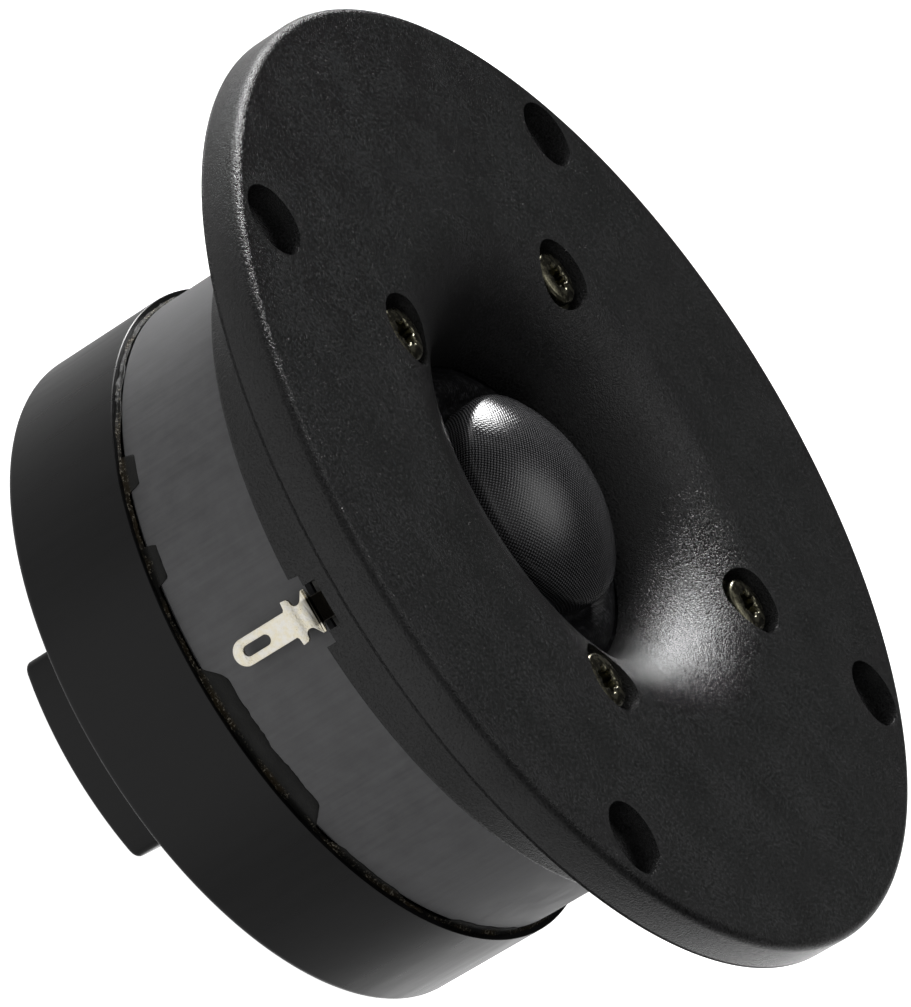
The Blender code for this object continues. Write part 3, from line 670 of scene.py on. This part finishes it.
def bore_tool(name, place, hole_radius, bore_radius, depth, bottom):
    """One turned cutter for a counterbored hole, from above the plate to below it."""
    profile = [
        (0.0, FRONT_Z + CUTTER_OVERRUN),
        (bore_radius, FRONT_Z + CUTTER_OVERRUN),
        (bore_radius, FRONT_Z - depth),
        (hole_radius, FRONT_Z - depth),
        (hole_radius, bottom),
        (0.0, bottom),
    ]
    tool = object_from(revolve(profile, BORE_STEPS, closed=False), name)
    tool.location = place
    return tool


def box_tool(name, low, high):
    shape = bmesh.new()
    size = Vector(high) - Vector(low)
    bmesh.ops.create_cube(shape, size=1.0, matrix=Matrix.Diagonal((*size, 1.0)))
    tool = object_from(shape, name)
    tool.location = 0.5 * (Vector(low) + Vector(high))
    return tool


TAG_POCKET_WIDTH = 6.2 * MM
TAG_POCKET_HEIGHT = 3.4 * MM
TAG_NOTCH_WIDTH = 9.3 * MM
TAG_NOTCH_HEIGHT = 1.6 * MM
CHANNEL_HEIGHT = 2.5 * MM


def tag_cuts(side):
    """Cutters for one terminal: the channel to the coil, the pocket and the wider notch."""
    tag_face = -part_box("solder_tag_a")[0].y
    beyond = SKIRT_RADIUS + NOTCH_OVERRUN
    below = SKIRT_REAR_Z - NOTCH_OVERRUN
    inner = SKIRT_INNER_RADIUS - GAP
    cuts = [
        (TAG_POCKET_WIDTH, RECESS_RADIUS - GAP, tag_face + 0.4 * MM, SEAT_Z + CHANNEL_HEIGHT),
        (TAG_POCKET_WIDTH, inner, beyond, SKIRT_REAR_Z + TAG_POCKET_HEIGHT),
        (TAG_NOTCH_WIDTH, inner, beyond, SKIRT_REAR_Z + TAG_NOTCH_HEIGHT),
    ]
    tools = []
    for index, (width, near, far, top) in enumerate(cuts):
        low_y, high_y = sorted((side * near, side * far))
        tools.append(box_tool(f"tag_cut_{index}", (-0.5 * width, low_y, below),
                              (0.5 * width, high_y, top)))
    return tools


ON_FACE = 0.01 * MM
ON_FLARE = 0.03 * MM
LARGEST_TURN = 40.0


def ideal_normal(co):
    """Exact normal of the front face or the horn's flare at a point, or None elsewhere."""
    radius = math.hypot(co.x, co.y)
    if radius >= HORN_MOUTH_RADIUS - ON_FACE:
        flat = abs(co.z - FRONT_Z) < ON_FACE
        return Vector((0.0, 0.0, 1.0)) if flat else None
    across = radius - HORN_MOUTH_RADIUS
    up = co.z - (FRONT_Z - HORN_FLARE_RADIUS)
    if abs(math.hypot(across, up) - HORN_FLARE_RADIUS) > ON_FLARE or up < 0.0:
        return None
    return Vector((across * co.x / radius, across * co.y / radius, up)).normalized()


def set_plate_normals(plate):
    """Keep the big cut faces true, so that light runs evenly past the holes."""
    mesh = plate.data
    ideal = [ideal_normal(vert.co) for vert in mesh.vertices]
    least = math.cos(math.radians(LARGEST_TURN))
    normals = [corner.vector.copy() for corner in mesh.corner_normals]
    for poly in mesh.polygons:
        for index in poly.loop_indices:
            best = ideal[mesh.loops[index].vertex_index]
            if best is not None and poly.normal.dot(best) > least:
                normals[index] = best
    mesh.normals_split_custom_set(normals)


def make_front_plate(material):
    plate = object_from(revolve(plate_profile(), PLATE_STEPS), "front_plate_moulding", material)
    bottom = SKIRT_REAR_Z - CUTTER_OVERRUN
    tools = []
    for index, place in enumerate(spots(MOUNT_CIRCLE_RADIUS)):
        tools.append(bore_tool(f"mount_cut_{index}", place, MOUNT_HOLE_RADIUS,
                               MOUNT_BORE_RADIUS, MOUNT_BORE_DEPTH, bottom))
    for index, place in enumerate(spots(SCREW_CIRCLE_RADIUS)):
        tools.append(bore_tool(f"screw_cut_{index}", place, SCREW_HOLE_RADIUS,
                               SCREW_BORE_RADIUS, SCREW_BORE_DEPTH, bottom))
    for side in (-1, 1):
        tools += tag_cuts(side)
    cut(plate, tools)
    round_edges(plate, EDGE_ROUNDING)
    smooth(plate, SHARP_ANGLE)
    set_plate_normals(plate)
    finish_piece(plate, "housing", "front_plate")


# ---------------------------------------------------------------- screws

SOCKET_LOBES = 6
SOCKET_MEAN_RADIUS = 1.66 * MM
SOCKET_LOBE_HEIGHT = 0.27 * MM
SOCKET_DEPTH = 1.5 * MM
SOCKET_POINT_DEPTH = 0.35 * MM
SCREW_HEAD_RADIUS = 3.7 * MM
SCREW_CROWN_FALL = 0.16 * MM
SCREW_CROWN_INNER_RADIUS = 2.25 * MM
SCREW_EDGE_RADIUS = 0.45 * MM
SCREW_FLANGE_THICKNESS = 0.7 * MM
SCREW_LIP_RADIUS = 0.18 * MM
SCREW_SHANK_RADIUS = 1.95 * MM
SCREW_TIP_LENGTH = 0.4 * MM
SCREW_STEPS = 96
# The four screws were tightened to different turns: the first turn and the step, in degrees.
SCREW_TURN = (17.0, 23.0)


def star_radius(angle, grow=0.0):
    """Outline of a six-lobed socket, with flatter lobes than a plain cosine."""
    wave = math.cos(SOCKET_LOBES * angle)
    return SOCKET_MEAN_RADIUS + grow + SOCKET_LOBE_HEIGHT * (wave - 0.18 * wave * wave)


def screw_body(flange, crown, seat, tip):
    """Section of the head's outside and the shank, from the socket's rim outward and down."""
    edge = SCREW_EDGE_RADIUS
    lip = SCREW_LIP_RADIUS
    head = SCREW_HEAD_RADIUS
    shank = SCREW_SHANK_RADIUS
    shoulder = seat + SCREW_FLANGE_THICKNESS
    inner = SCREW_CROWN_INNER_RADIUS
    body = []
    for share in (0.0, 0.25, 0.5, 0.75, 0.92):
        radius = inner + (head - edge - inner) * share
        body.append((radius, crown - SCREW_CROWN_FALL * share * share))
    body += arc((head - edge, crown - SCREW_CROWN_FALL - edge), edge, 80.0, 0.0, 6)
    body += [(head, shoulder + 0.08 * MM), (head + 0.10 * MM, shoulder)]
    body += arc((flange - lip, shoulder - lip), lip, 90.0, 0.0, 3)
    body += [(flange, seat), (shank, seat), (shank, tip + SCREW_TIP_LENGTH), (0.7 * shank, tip)]
    return body


def make_screw(index, material):
    node = f"plate_screw_{index}"
    low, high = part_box(node)
    centre = 0.5 * (low + high)
    crown = high.z
    turn = math.radians(SCREW_TURN[0] + SCREW_TURN[1] * index)
    # Rings of the socket from its floor up, as (height, growth of the star's outline).
    socket = [
        (crown - SOCKET_DEPTH, -0.05 * MM),
        (crown - 0.30 * MM, 0.0),
        (crown - 0.12 * MM, 0.06 * MM),
        (crown - 0.02 * MM, 0.20 * MM),
    ]
    angles = [2 * math.pi * k / SCREW_STEPS for k in range(SCREW_STEPS)]
    rings = [[(star_radius(angle - turn, grow), height) for angle in angles]
             for height, grow in socket]
    seat = FRONT_Z - SCREW_BORE_DEPTH + GAP
    rings += [[point] * SCREW_STEPS
              for point in screw_body(high.x - centre.x, crown, seat, low.z)]
    shape = bmesh.new()
    loops = []
    for ring in rings:
        loops.append([shape.verts.new((radius * math.cos(angle), radius * math.sin(angle),
                                       height))
                      for angle, (radius, height) in zip(angles, ring)])
    floor = shape.verts.new((0.0, 0.0, crown - SOCKET_DEPTH - SOCKET_POINT_DEPTH))
    tip = shape.verts.new((0.0, 0.0, low.z))
    for k in range(SCREW_STEPS):
        nxt = (k + 1) % SCREW_STEPS
        shape.faces.new((floor, loops[0][k], loops[0][nxt]))
        for upper, lower in zip(loops, loops[1:]):
            shape.faces.new((upper[k], lower[k], lower[nxt], upper[nxt]))
        shape.faces.new((loops[-1][nxt], loops[-1][k], tip))
    screw = object_from(shape, f"{node}_head", material)
    screw.location = (centre.x, centre.y, 0.0)
    smooth(screw, 40.0)
    finish_piece(screw, "housing", node)


# ---------------------------------------------------------------- diaphragm

DOME_SPHERE_RADIUS = 23.0 * MM
DOME_SHOULDER_RADIUS = 2.4 * MM
DOME_THICKNESS = 0.35 * MM
DOME_STEPS = 160


def dome_curve(offset, crown_steps, shoulder_steps):
    """Section of the dome at this depth under its outside: crown, shoulder and flank."""
    crown = DOME_SPHERE_RADIUS
    centre_z = DOME_HIGH.z - crown
    shoulder = DOME_SHOULDER_RADIUS
    shoulder_r = DOME_RADIUS - shoulder
    lean = math.asin(shoulder_r / (crown - shoulder))
    shoulder_z = centre_z + (crown - shoulder) * math.cos(lean)
    start = 90.0 - math.degrees(lean)
    points = arc((0.0, centre_z), crown - offset, 90.0, start, crown_steps)
    points[0] = (0.0, points[0][1])
    points += arc((shoulder_r, shoulder_z), shoulder - offset, start, 0.0, shoulder_steps)[1:]
    flank_top = points[-1]
    foot = (DOME_RADIUS - offset, DOME_LOW.z)
    points += straight(flank_top, foot, 4)[1:] + [foot]
    return points


def arc_length_uv(obj, profile):
    """UV in metres: distance along the outer profile from the apex, turned about the axis."""
    lengths = [0.0]
    for first, second in zip(profile, profile[1:]):
        lengths.append(lengths[-1] + math.dist(first, second))

    def travelled(vert):
        radius = math.hypot(vert.x, vert.y)
        best = min(range(len(profile)),
                   key=lambda k: math.dist((radius, vert.z), profile[k]))
        return lengths[best]

    mesh = obj.data
    reach = [travelled(v.co) for v in mesh.vertices]
    layer = mesh.uv_layers.new(name="cloth")
    for loop in mesh.loops:
        co = mesh.vertices[loop.vertex_index].co
        radius = math.hypot(co.x, co.y)
        length = reach[loop.vertex_index]
        scale = length / radius if radius > ON_AXIS else 0.0
        layer.data[loop.index].uv = (co.x * scale, co.y * scale)


def make_dome(material):
    outer = dome_curve(0.0, 36, 12)
    inner = dome_curve(DOME_THICKNESS, 12, 6)
    section = outer + inner[::-1]
    dome = object_from(revolve(section, DOME_STEPS, closed=False), "dome_cloth", material)
    arc_length_uv(dome, outer)
    smooth(dome, 50.0)
    finish_piece(dome, "moving_coil", "dome")


SURROUND_SECTORS = 24
SECTOR_STEPS = 8
ROLL_STEPS = 20
SURROUND_THICKNESS = 0.3 * MM
SURROUND_ROLL_HEIGHT = 1.35 * MM
SURROUND_INNER_DROP = 0.5 * MM
SURROUND_INNER_RADIUS = DOME_RADIUS + 2.0 * GAP
SURROUND_ROLL_END_RADIUS = THROAT_RADIUS - GAP


def surround_height(share):
    """Height of the roll's top at this share of the way from the dome out to the lip."""
    inner_z = DOME_LOW.z - SURROUND_INNER_DROP
    lip_z = SURROUND_LOW.z + SURROUND_THICKNESS
    level = inner_z + (lip_z - inner_z) * share
    return level + SURROUND_ROLL_HEIGHT * math.sin(math.pi * share)


def make_surround(material):
    """The half roll in sectors, from the dome out to the fixed lip."""
    top = []
    for step in range(ROLL_STEPS + 1):
        share = step / ROLL_STEPS
        radius = SURROUND_INNER_RADIUS
        radius += (SURROUND_ROLL_END_RADIUS - SURROUND_INNER_RADIUS) * share
        top.append((radius, surround_height(share)))
    top.append((LIP_OUTER_RADIUS, top[-1][1]))
    top = [(DOME_RADIUS - 0.1 * MM, top[0][1] + 0.15 * MM)] + top
    bottom = [(radius, height - SURROUND_THICKNESS) for radius, height in top]
    section = top + bottom[::-1]
    for sector in range(SURROUND_SECTORS):
        shape = bmesh.new()
        start = 2.0 * math.pi * sector / SURROUND_SECTORS
        loops = []
        for step in range(SECTOR_STEPS + 1):
            angle = start + 2.0 * math.pi * step / (SURROUND_SECTORS * SECTOR_STEPS)
            loops.append([shape.verts.new((r * math.cos(angle), r * math.sin(angle), z))
                          for r, z in section])
        count = len(section)
        for first, second in zip(loops, loops[1:]):
            for k in range(count):
                nxt = (k + 1) % count
                shape.faces.new((first[k], second[k], second[nxt], first[nxt]))
        bmesh.ops.recalc_face_normals(shape, faces=shape.faces)
        piece = object_from(shape, f"surround_sector_{sector + 1:02d}", material)
        smooth(piece, 50.0)
        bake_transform(piece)
        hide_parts("surround")


# ---------------------------------------------------------------- magnet and cup

ROUND_BODY_STEPS = 192
FERRITE_CHAMFER = 0.5 * MM
FERRITE_BORE_RADIUS = 22.0 * MM


def make_ferrite(material):
    chamfer = FERRITE_CHAMFER
    inner = FERRITE_BORE_RADIUS
    profile = [
        (FERRITE_RADIUS - chamfer, FERRITE_HIGH.z),
        (FERRITE_RADIUS, FERRITE_HIGH.z - chamfer),
        (FERRITE_RADIUS, FERRITE_LOW.z + chamfer),
        (FERRITE_RADIUS - chamfer, FERRITE_LOW.z),
        (inner, FERRITE_LOW.z),
        (inner, FERRITE_HIGH.z),
    ]
    ferrite = object_from(revolve(profile, ROUND_BODY_STEPS), "ferrite_body", material)
    smooth(ferrite)
    finish_piece(ferrite, "housing", "ferrite_ring")


PAD_WIDTH = 28.0 * MM
PAD_END_RADIUS = 37.5 * MM
PAD_HEIGHT = 9.5 * MM
PAD_CORNER = 1.4 * MM
PAD_ROUNDING = 0.9 * MM
CUP_WALL = 1.4 * MM
CUP_LEDGE = 2.0 * MM
CUP_FLOOR = 2.2 * MM
CUP_EDGE_RADIUS = 1.0 * MM
CUP_LIP_CHAMFER = 0.09 * MM


def pad_outline(inset):
    """Bar with parallel sides, ends on one circle and rounded corners, anticlockwise."""
    end = PAD_END_RADIUS - inset
    corner_x = 0.5 * PAD_WIDTH - inset - PAD_CORNER
    corner_y = math.sqrt((end - PAD_CORNER) ** 2 - corner_x ** 2)
    lean = math.degrees(math.atan2(corner_x, corner_y))
    quarter = arc((corner_x, corner_y), PAD_CORNER, 0.0, 90.0 - lean, 8)
    crown = arc((0.0, 0.0), end, 90.0 - lean, 90.0 + lean, 24)[1:-1]
    left = [(-x, y) for x, y in reversed(quarter)]
    far = quarter + crown + left
    return far + [(-x, -y) for x, y in far]


def outline_solid(name, levels):
    """A solid through (outline, height) levels, bottom level first."""
    shape = bmesh.new()
    loops = []
    for outline, height in levels:
        loops.append([shape.verts.new((x, y, height)) for x, y in outline])
    count = len(loops[0])
    shape.faces.new(loops[0][::-1])
    shape.faces.new(loops[-1])
    for lower, upper in zip(loops, loops[1:]):
        for k in range(count):
            nxt = (k + 1) % count
            shape.faces.new((lower[k], lower[nxt], upper[nxt], upper[k]))
    return object_from(shape, name)


def pad_levels():
    """The rear pad, rounded where it meets the floor, up to inside the cup's own floor."""
    steps = 6
    levels = []
    for step in range(steps + 1):
        angle = math.radians(90.0 * step / steps)
        inset = PAD_ROUNDING * (1.0 - math.sin(angle))
        levels.append((pad_outline(inset), PAD_ROUNDING * (1.0 - math.cos(angle))))
    levels.append((pad_outline(0.0), PAD_HEIGHT + 0.5 * CUP_FLOOR))
    return levels


def make_rear_cup(material):
    edge = CUP_EDGE_RADIUS
    rear = PAD_HEIGHT
    inner = CUP_RADIUS - CUP_WALL
    chamber = inner - CUP_LEDGE
    floor_z = rear + CUP_FLOOR
    ledge_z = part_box("back_plate")[0].z - GAP
    lip = CUP_LIP_CHAMFER
    profile = [
        (0.0, floor_z),
        (chamber, floor_z),
        (chamber, ledge_z),
        (inner, ledge_z),
        (inner, CUP_HIGH.z),
        (CUP_RADIUS - lip, CUP_HIGH.z),
        (CUP_RADIUS, CUP_HIGH.z - lip),
    ]
    profile += arc((CUP_RADIUS - edge, rear + edge), edge, 0.0, -90.0, 8)
    profile += [(0.0, rear)]
    cup = object_from(revolve(profile, ROUND_BODY_STEPS, closed=False), "rear_cup_moulding",
                      material)
    pad = outline_solid("pad", pad_levels())
    join = cup.modifiers.new("pad", "BOOLEAN")
    join.operation = "UNION"
    join.solver = "EXACT"
    join.object = pad
    bake_modifiers(cup)
    bpy.data.objects.remove(pad, do_unlink=True)
    smooth(cup, SHARP_ANGLE)
    finish_piece(cup, "housing", "rear_cup")


# ---------------------------------------------------------------- glue

# Where the glue was squeezed or wiped: start and end angle (anticlockwise from +X), climb in mm,
# and how wavy the edge of the patch is, from straight (0.0) to wavy (1.0).
GLUE_PATCHES = [
    (206.0, 229.0, 0.55, 1.0),
    (230.5, 238.0, 2.15, 0.0),
    (247.0, 254.5, 2.0, 0.0),
    (267.0, 300.0, 3.1, 0.4),
    (300.0, 322.0, 1.0, 1.0),
    (328.0, 353.0, 1.25, 0.5),
    (40.0, 66.0, 1.5, 0.7),
    (98.0, 131.0, 2.2, 0.5),
    (150.0, 171.0, 1.2, 1.0),
]
GLUE_FILM = 0.10 * MM
GLUE_MIN_CLIMB = 0.10 * MM
GLUE_MAX_CLIMB = 3.3 * MM
GLUE_FILLET = 0.35 * MM
GLUE_STEPS = 1080


def ripple(angle, scale, seed=0.0):
    """Noise round a circle, from -1 to 1."""
    return noise.noise(Vector((scale * math.cos(angle), scale * math.sin(angle), seed)),
                       noise_basis="PERLIN_ORIGINAL")


def glue_climb(angle):
    """How far the glue climbs the magnet at this angle."""
    degrees = math.degrees(angle) % 360.0
    climb = 0.30 + 0.16 * ripple(angle, 22.0) + 0.14 * ripple(angle, 95.0, 2.0)
    for start, stop, height, wave in GLUE_PATCHES:
        inside = min(degrees - start, stop - degrees)
        if inside <= 0.0:
            continue
        ramp = 1.0 if wave < 0.1 else 5.0
        rise = min(1.0, inside / ramp)
        rise = rise * rise * (3.0 - 2.0 * rise)
        shape = 1.0 + wave * (0.28 * ripple(angle, 14.0, 5.0) + 0.10 * ripple(angle, 60.0, 7.0))
        climb = max(climb, height * rise * shape)
    return min(max(GLUE_MIN_CLIMB, climb * MM), GLUE_MAX_CLIMB)


def make_glue(material):
    """A thin film that climbs the magnet, with a small uneven fillet on the cup's ledge."""
    base = CUP_HIGH.z
    wall = FERRITE_RADIUS - 0.02 * MM
    ledge = CUP_RADIUS - 0.25 * MM - wall
    shape = bmesh.new()
    loops = []
    for step in range(GLUE_STEPS):
        angle = 2.0 * math.pi * step / GLUE_STEPS
        climb = glue_climb(angle)
        foot = (0.42 + 0.30 * ripple(angle, 18.0, 11.0) + 0.16 * ripple(angle, 80.0, 13.0)) * MM
        foot = min(max(foot, GLUE_FILM), ledge)
        fillet = min(GLUE_FILLET, 0.8 * climb)
        section = [(foot, -0.05 * MM), (0.92 * foot, 0.12 * fillet),
                   (0.62 * foot, 0.32 * fillet), (0.34 * foot + 0.3 * GLUE_FILM, 0.62 * fillet),
                   (GLUE_FILM, fillet)]
        lump = GLUE_FILM * (1.0 + 0.5 * ripple(angle, 40.0, 17.0))
        section += [(lump, fillet + 0.5 * (climb - fillet)), (lump, climb - 0.06 * MM),
                    (0.5 * lump, climb - 0.015 * MM), (0.0, climb)]
        loops.append([shape.verts.new(((wall + out) * math.cos(angle),
                                       (wall + out) * math.sin(angle), base + up))
                      for out, up in section])
    for first, second in zip(loops, loops[1:] + loops[:1]):
        for row in range(len(first) - 1):
            shape.faces.new((first[row], second[row], second[row + 1], first[row + 1]))
    glue = object_from(shape, "glue_squeeze_out", material)
    smooth(glue, 60.0)
    finish_piece(glue, "housing", "glue_bead")


# ---------------------------------------------------------------- terminals

TAG_THICKNESS = 0.5 * MM
TAG_HALF_WIDTH = 1.75 * MM
TAG_NECK_HALF = 1.62 * MM
TAG_EAR_HALF = 2.95 * MM
TAG_TAB_HALF = 2.9 * MM
TAG_WAIST_RADIUS = 0.68 * MM
# Runs along the strip, measured back from the skirt's rear edge.
TAG_EAR_BEFORE = 3.25 * MM
TAG_SLOT_BEFORE = (10.5 * MM, 6.4 * MM)
TAG_SLOT_HALF = 0.7 * MM
TAG_JOGGLE_BEFORE = 1.1 * MM
TAG_JOGGLE_BEYOND = 2.9 * MM
TAG_JOGGLE = 1.7 * MM
TAG_TAB_TWIST = 0.5 * MM
TAG_FOOT_LENGTH = 12.5 * MM
TAG_FOOT_BEND = 0.9 * MM
TAG_ROUNDING = 0.07 * MM


def tag_outline(reach, length):
    """Right-hand edge of the flat strip, as (half width, distance from the round end)."""
    half, neck, ear, tab = TAG_HALF_WIDTH, TAG_NECK_HALF, TAG_EAR_HALF, TAG_TAB_HALF
    waist = TAG_WAIST_RADIUS
    edge = reach - TAG_EAR_BEFORE
    outline = arc((0.0, half), half, -90.0, 0.0, 12)
    outline += [
        (half, edge),
        (half + 0.25 * MM, edge + 0.20 * MM),
        (ear - 0.05 * MM, edge + 0.30 * MM),
        (ear, edge + 0.42 * MM),
        (ear - 0.10 * MM, edge + 1.15 * MM),
        (ear - 0.42 * MM, edge + 1.42 * MM),
    ]
    outline += arc((neck + waist, edge + 2.10 * MM), waist, -120.0, -240.0, 8)
    outline += [
        (tab - 0.05 * MM, reach + 0.05 * MM),
        (tab, reach + 0.15 * MM),
        (tab, reach + 0.50 * MM),
        (tab - 0.06 * MM, reach + 0.58 * MM),
        (half, reach + 0.62 * MM),
        (half, length),
    ]
    return outline


def strip_mesh(name, outline, slot):
    """The flat strip with its slot and slightly rounded edges, as a mesh."""
    curve = bpy.data.curves.new(name, "CURVE")
    curve.dimensions = "2D"
    curve.fill_mode = "BOTH"
    curve.extrude = 0.5 * TAG_THICKNESS - TAG_ROUNDING
    curve.bevel_depth = TAG_ROUNDING
    curve.bevel_resolution = 1
    curve.offset = -TAG_ROUNDING
    for points in (outline, slot):
        spline = curve.splines.new("POLY")
        spline.points.add(len(points) - 1)
        for point, (x, run) in zip(spline.points, points):
            point.co = (x, run, 0.0, 1.0)
        spline.use_cyclic_u = True
    holder = bpy.data.objects.new(name, curve)
    bpy.context.scene.collection.objects.link(holder)
    bpy.context.view_layer.update()
    graph = bpy.context.evaluated_depsgraph_get()
    mesh = bpy.data.meshes.new_from_object(holder.evaluated_get(graph))
    bpy.data.objects.remove(holder, do_unlink=True)
    return mesh


def bend_strip(run, out, straight_end, joggle_end, bend_start):
    """Place of a point of the strip: (inward shift, height) from its run and thickness."""
    if run <= straight_end:
        return -out, run
    joggle = joggle_end - straight_end
    share = min(1.0, (run - straight_end) / joggle)
    inward = TAG_JOGGLE * share * share * (3.0 - 2.0 * share)
    if run <= joggle_end:
        slope = TAG_JOGGLE * 6.0 * share * (1.0 - share) / joggle
        tilt = math.atan(slope)
        return inward - out * math.cos(tilt), run + out * math.sin(tilt)
    if run <= bend_start:
        return TAG_JOGGLE - out, run
    angle = min((run - bend_start) / TAG_FOOT_BEND, 0.5 * math.pi)
    beyond = max(0.0, run - bend_start - 0.5 * math.pi * TAG_FOOT_BEND)
    radius = TAG_FOOT_BEND + out
    inward = TAG_JOGGLE + TAG_FOOT_BEND - radius * math.cos(angle) + beyond
    return inward, bend_start + radius * math.sin(angle)


def make_tag(label, side, material):
    """Strip cut flat, joggled into its pocket and bent in at the foot; side is -1 or 1 on Y."""
    node = f"solder_tag_{label}"
    low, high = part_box(node)
    face = max(abs(low.y), abs(high.y)) - 0.5 * TAG_THICKNESS
    reach = SKIRT_REAR_Z - low.z
    rise = high.z - 0.5 * TAG_THICKNESS - low.z
    bend_start = rise - TAG_FOOT_BEND
    flat_length = TAG_FOOT_LENGTH - TAG_JOGGLE - TAG_FOOT_BEND
    length = bend_start + 0.5 * math.pi * TAG_FOOT_BEND + flat_length
    right = tag_outline(reach, length)
    outline = right + [(-x, run) for x, run in reversed(right) if x > ON_AXIS]
    slot_low = reach - TAG_SLOT_BEFORE[0] + TAG_SLOT_HALF
    slot_high = reach - TAG_SLOT_BEFORE[1] - TAG_SLOT_HALF
    slot = arc((0.0, slot_high), TAG_SLOT_HALF, 0.0, 180.0, 8)
    slot += arc((0.0, slot_low), TAG_SLOT_HALF, 180.0, 360.0, 8)
    mesh = strip_mesh(f"{node}_strip", outline, slot[::-1])
    shape = bmesh.new()
    shape.from_mesh(mesh)
    bmesh.ops.remove_doubles(shape, verts=shape.verts, dist=0.001 * MM)
    straight_end = reach - TAG_JOGGLE_BEFORE
    joggle_end = reach + TAG_JOGGLE_BEYOND
    cuts = [straight_end + (joggle_end - straight_end) * k / 12 for k in range(13)]
    cuts += [bend_start + 0.5 * math.pi * TAG_FOOT_BEND * k / 8 for k in range(9)]
    for run in cuts:
        geometry = shape.verts[:] + shape.edges[:] + shape.faces[:]
        bmesh.ops.bisect_plane(shape, geom=geometry, dist=0.0, plane_co=(0.0, run, 0.0),
                               plane_no=(0.0, 1.0, 0.0))
    for vert in shape.verts:
        inward, up = bend_strip(vert.co.y, vert.co.z, straight_end, joggle_end, bend_start)
        # The tabs stay out on the face while the neck between them sinks.
        tab = min(1.0, max(0.0, abs(vert.co.x) - TAG_HALF_WIDTH) / TAG_TAB_TWIST)
        inward += tab * (-vert.co.z - inward)
        vert.co = Vector((vert.co.x, side * (face - inward), low.z + up))
    bmesh.ops.recalc_face_normals(shape, faces=shape.faces)
    tag = object_from(shape, f"{node}_strip", material)
    smooth(tag, 38.0)
    finish_piece(tag, "housing", node)


def reuse_cad(names, material):
    """CAD nodes that keep their shape and get a finished material."""
    for name in names:
        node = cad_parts[name]
        for slot in node.material_slots:
            slot.material = material
        if not node.material_slots:
            node.data.materials.append(material)


# ---------------------------------------------------------------- assembly

# Pieces inside the housing: material name, dark and light tone, roughness, size of the mottle,
# metallic and relief.
INNER_FINISHES = [
    (["carrier_ring"],
     ("carrier", (0.04,) * 3, (0.07,) * 3, 0.6, 0.6 * MM, 0.0, 0.2)),
    (["coil_former"],
     ("former_foil", (0.45,) * 3, (0.6,) * 3, 0.35, 0.8 * MM, 1.0, 0.2)),
    (["voice_coil"],
     ("coil_wire", (0.45, 0.17, 0.06), (0.62, 0.26, 0.11), 0.35, 0.3 * MM, 1.0, 0.2)),
    (["pole_felt"],
     ("felt", (0.22, 0.21, 0.19), (0.36, 0.35, 0.32), 0.92, 0.5 * MM, 0.0, 0.5)),
    (["chamber_foam"],
     ("foam", (0.02,) * 3, (0.06,) * 3, 0.95, 0.7 * MM, 0.0, 0.6)),
    (["lead_wire_a", "lead_wire_b"],
     ("tinsel", (0.45, 0.24, 0.12), (0.7, 0.45, 0.28), 0.4, 0.25 * MM, 1.0, 0.5)),
]


def build():
    add_camera()
    add_world()
    add_floor()
    make_front_plate(moulding_material())
    screw = screw_material()
    for index in range(1, 5):
        make_screw(index, screw)
    make_dome(dome_material())
    make_surround(surround_material())
    make_ferrite(ferrite_material())
    make_rear_cup(cup_material())
    make_glue(glue_material())
    tin = tin_material()
    make_tag("a", -1, tin)
    make_tag("b", 1, tin)
    reuse_cad(["top_plate", "back_plate", "pole_piece", "tag_rivet_a", "tag_rivet_b"],
              steel_material())
    for names, settings in INNER_FINISHES:
        reuse_cad(names, plain_material(*settings))


bpy.context.scene.view_settings.view_transform = "Standard"
build()
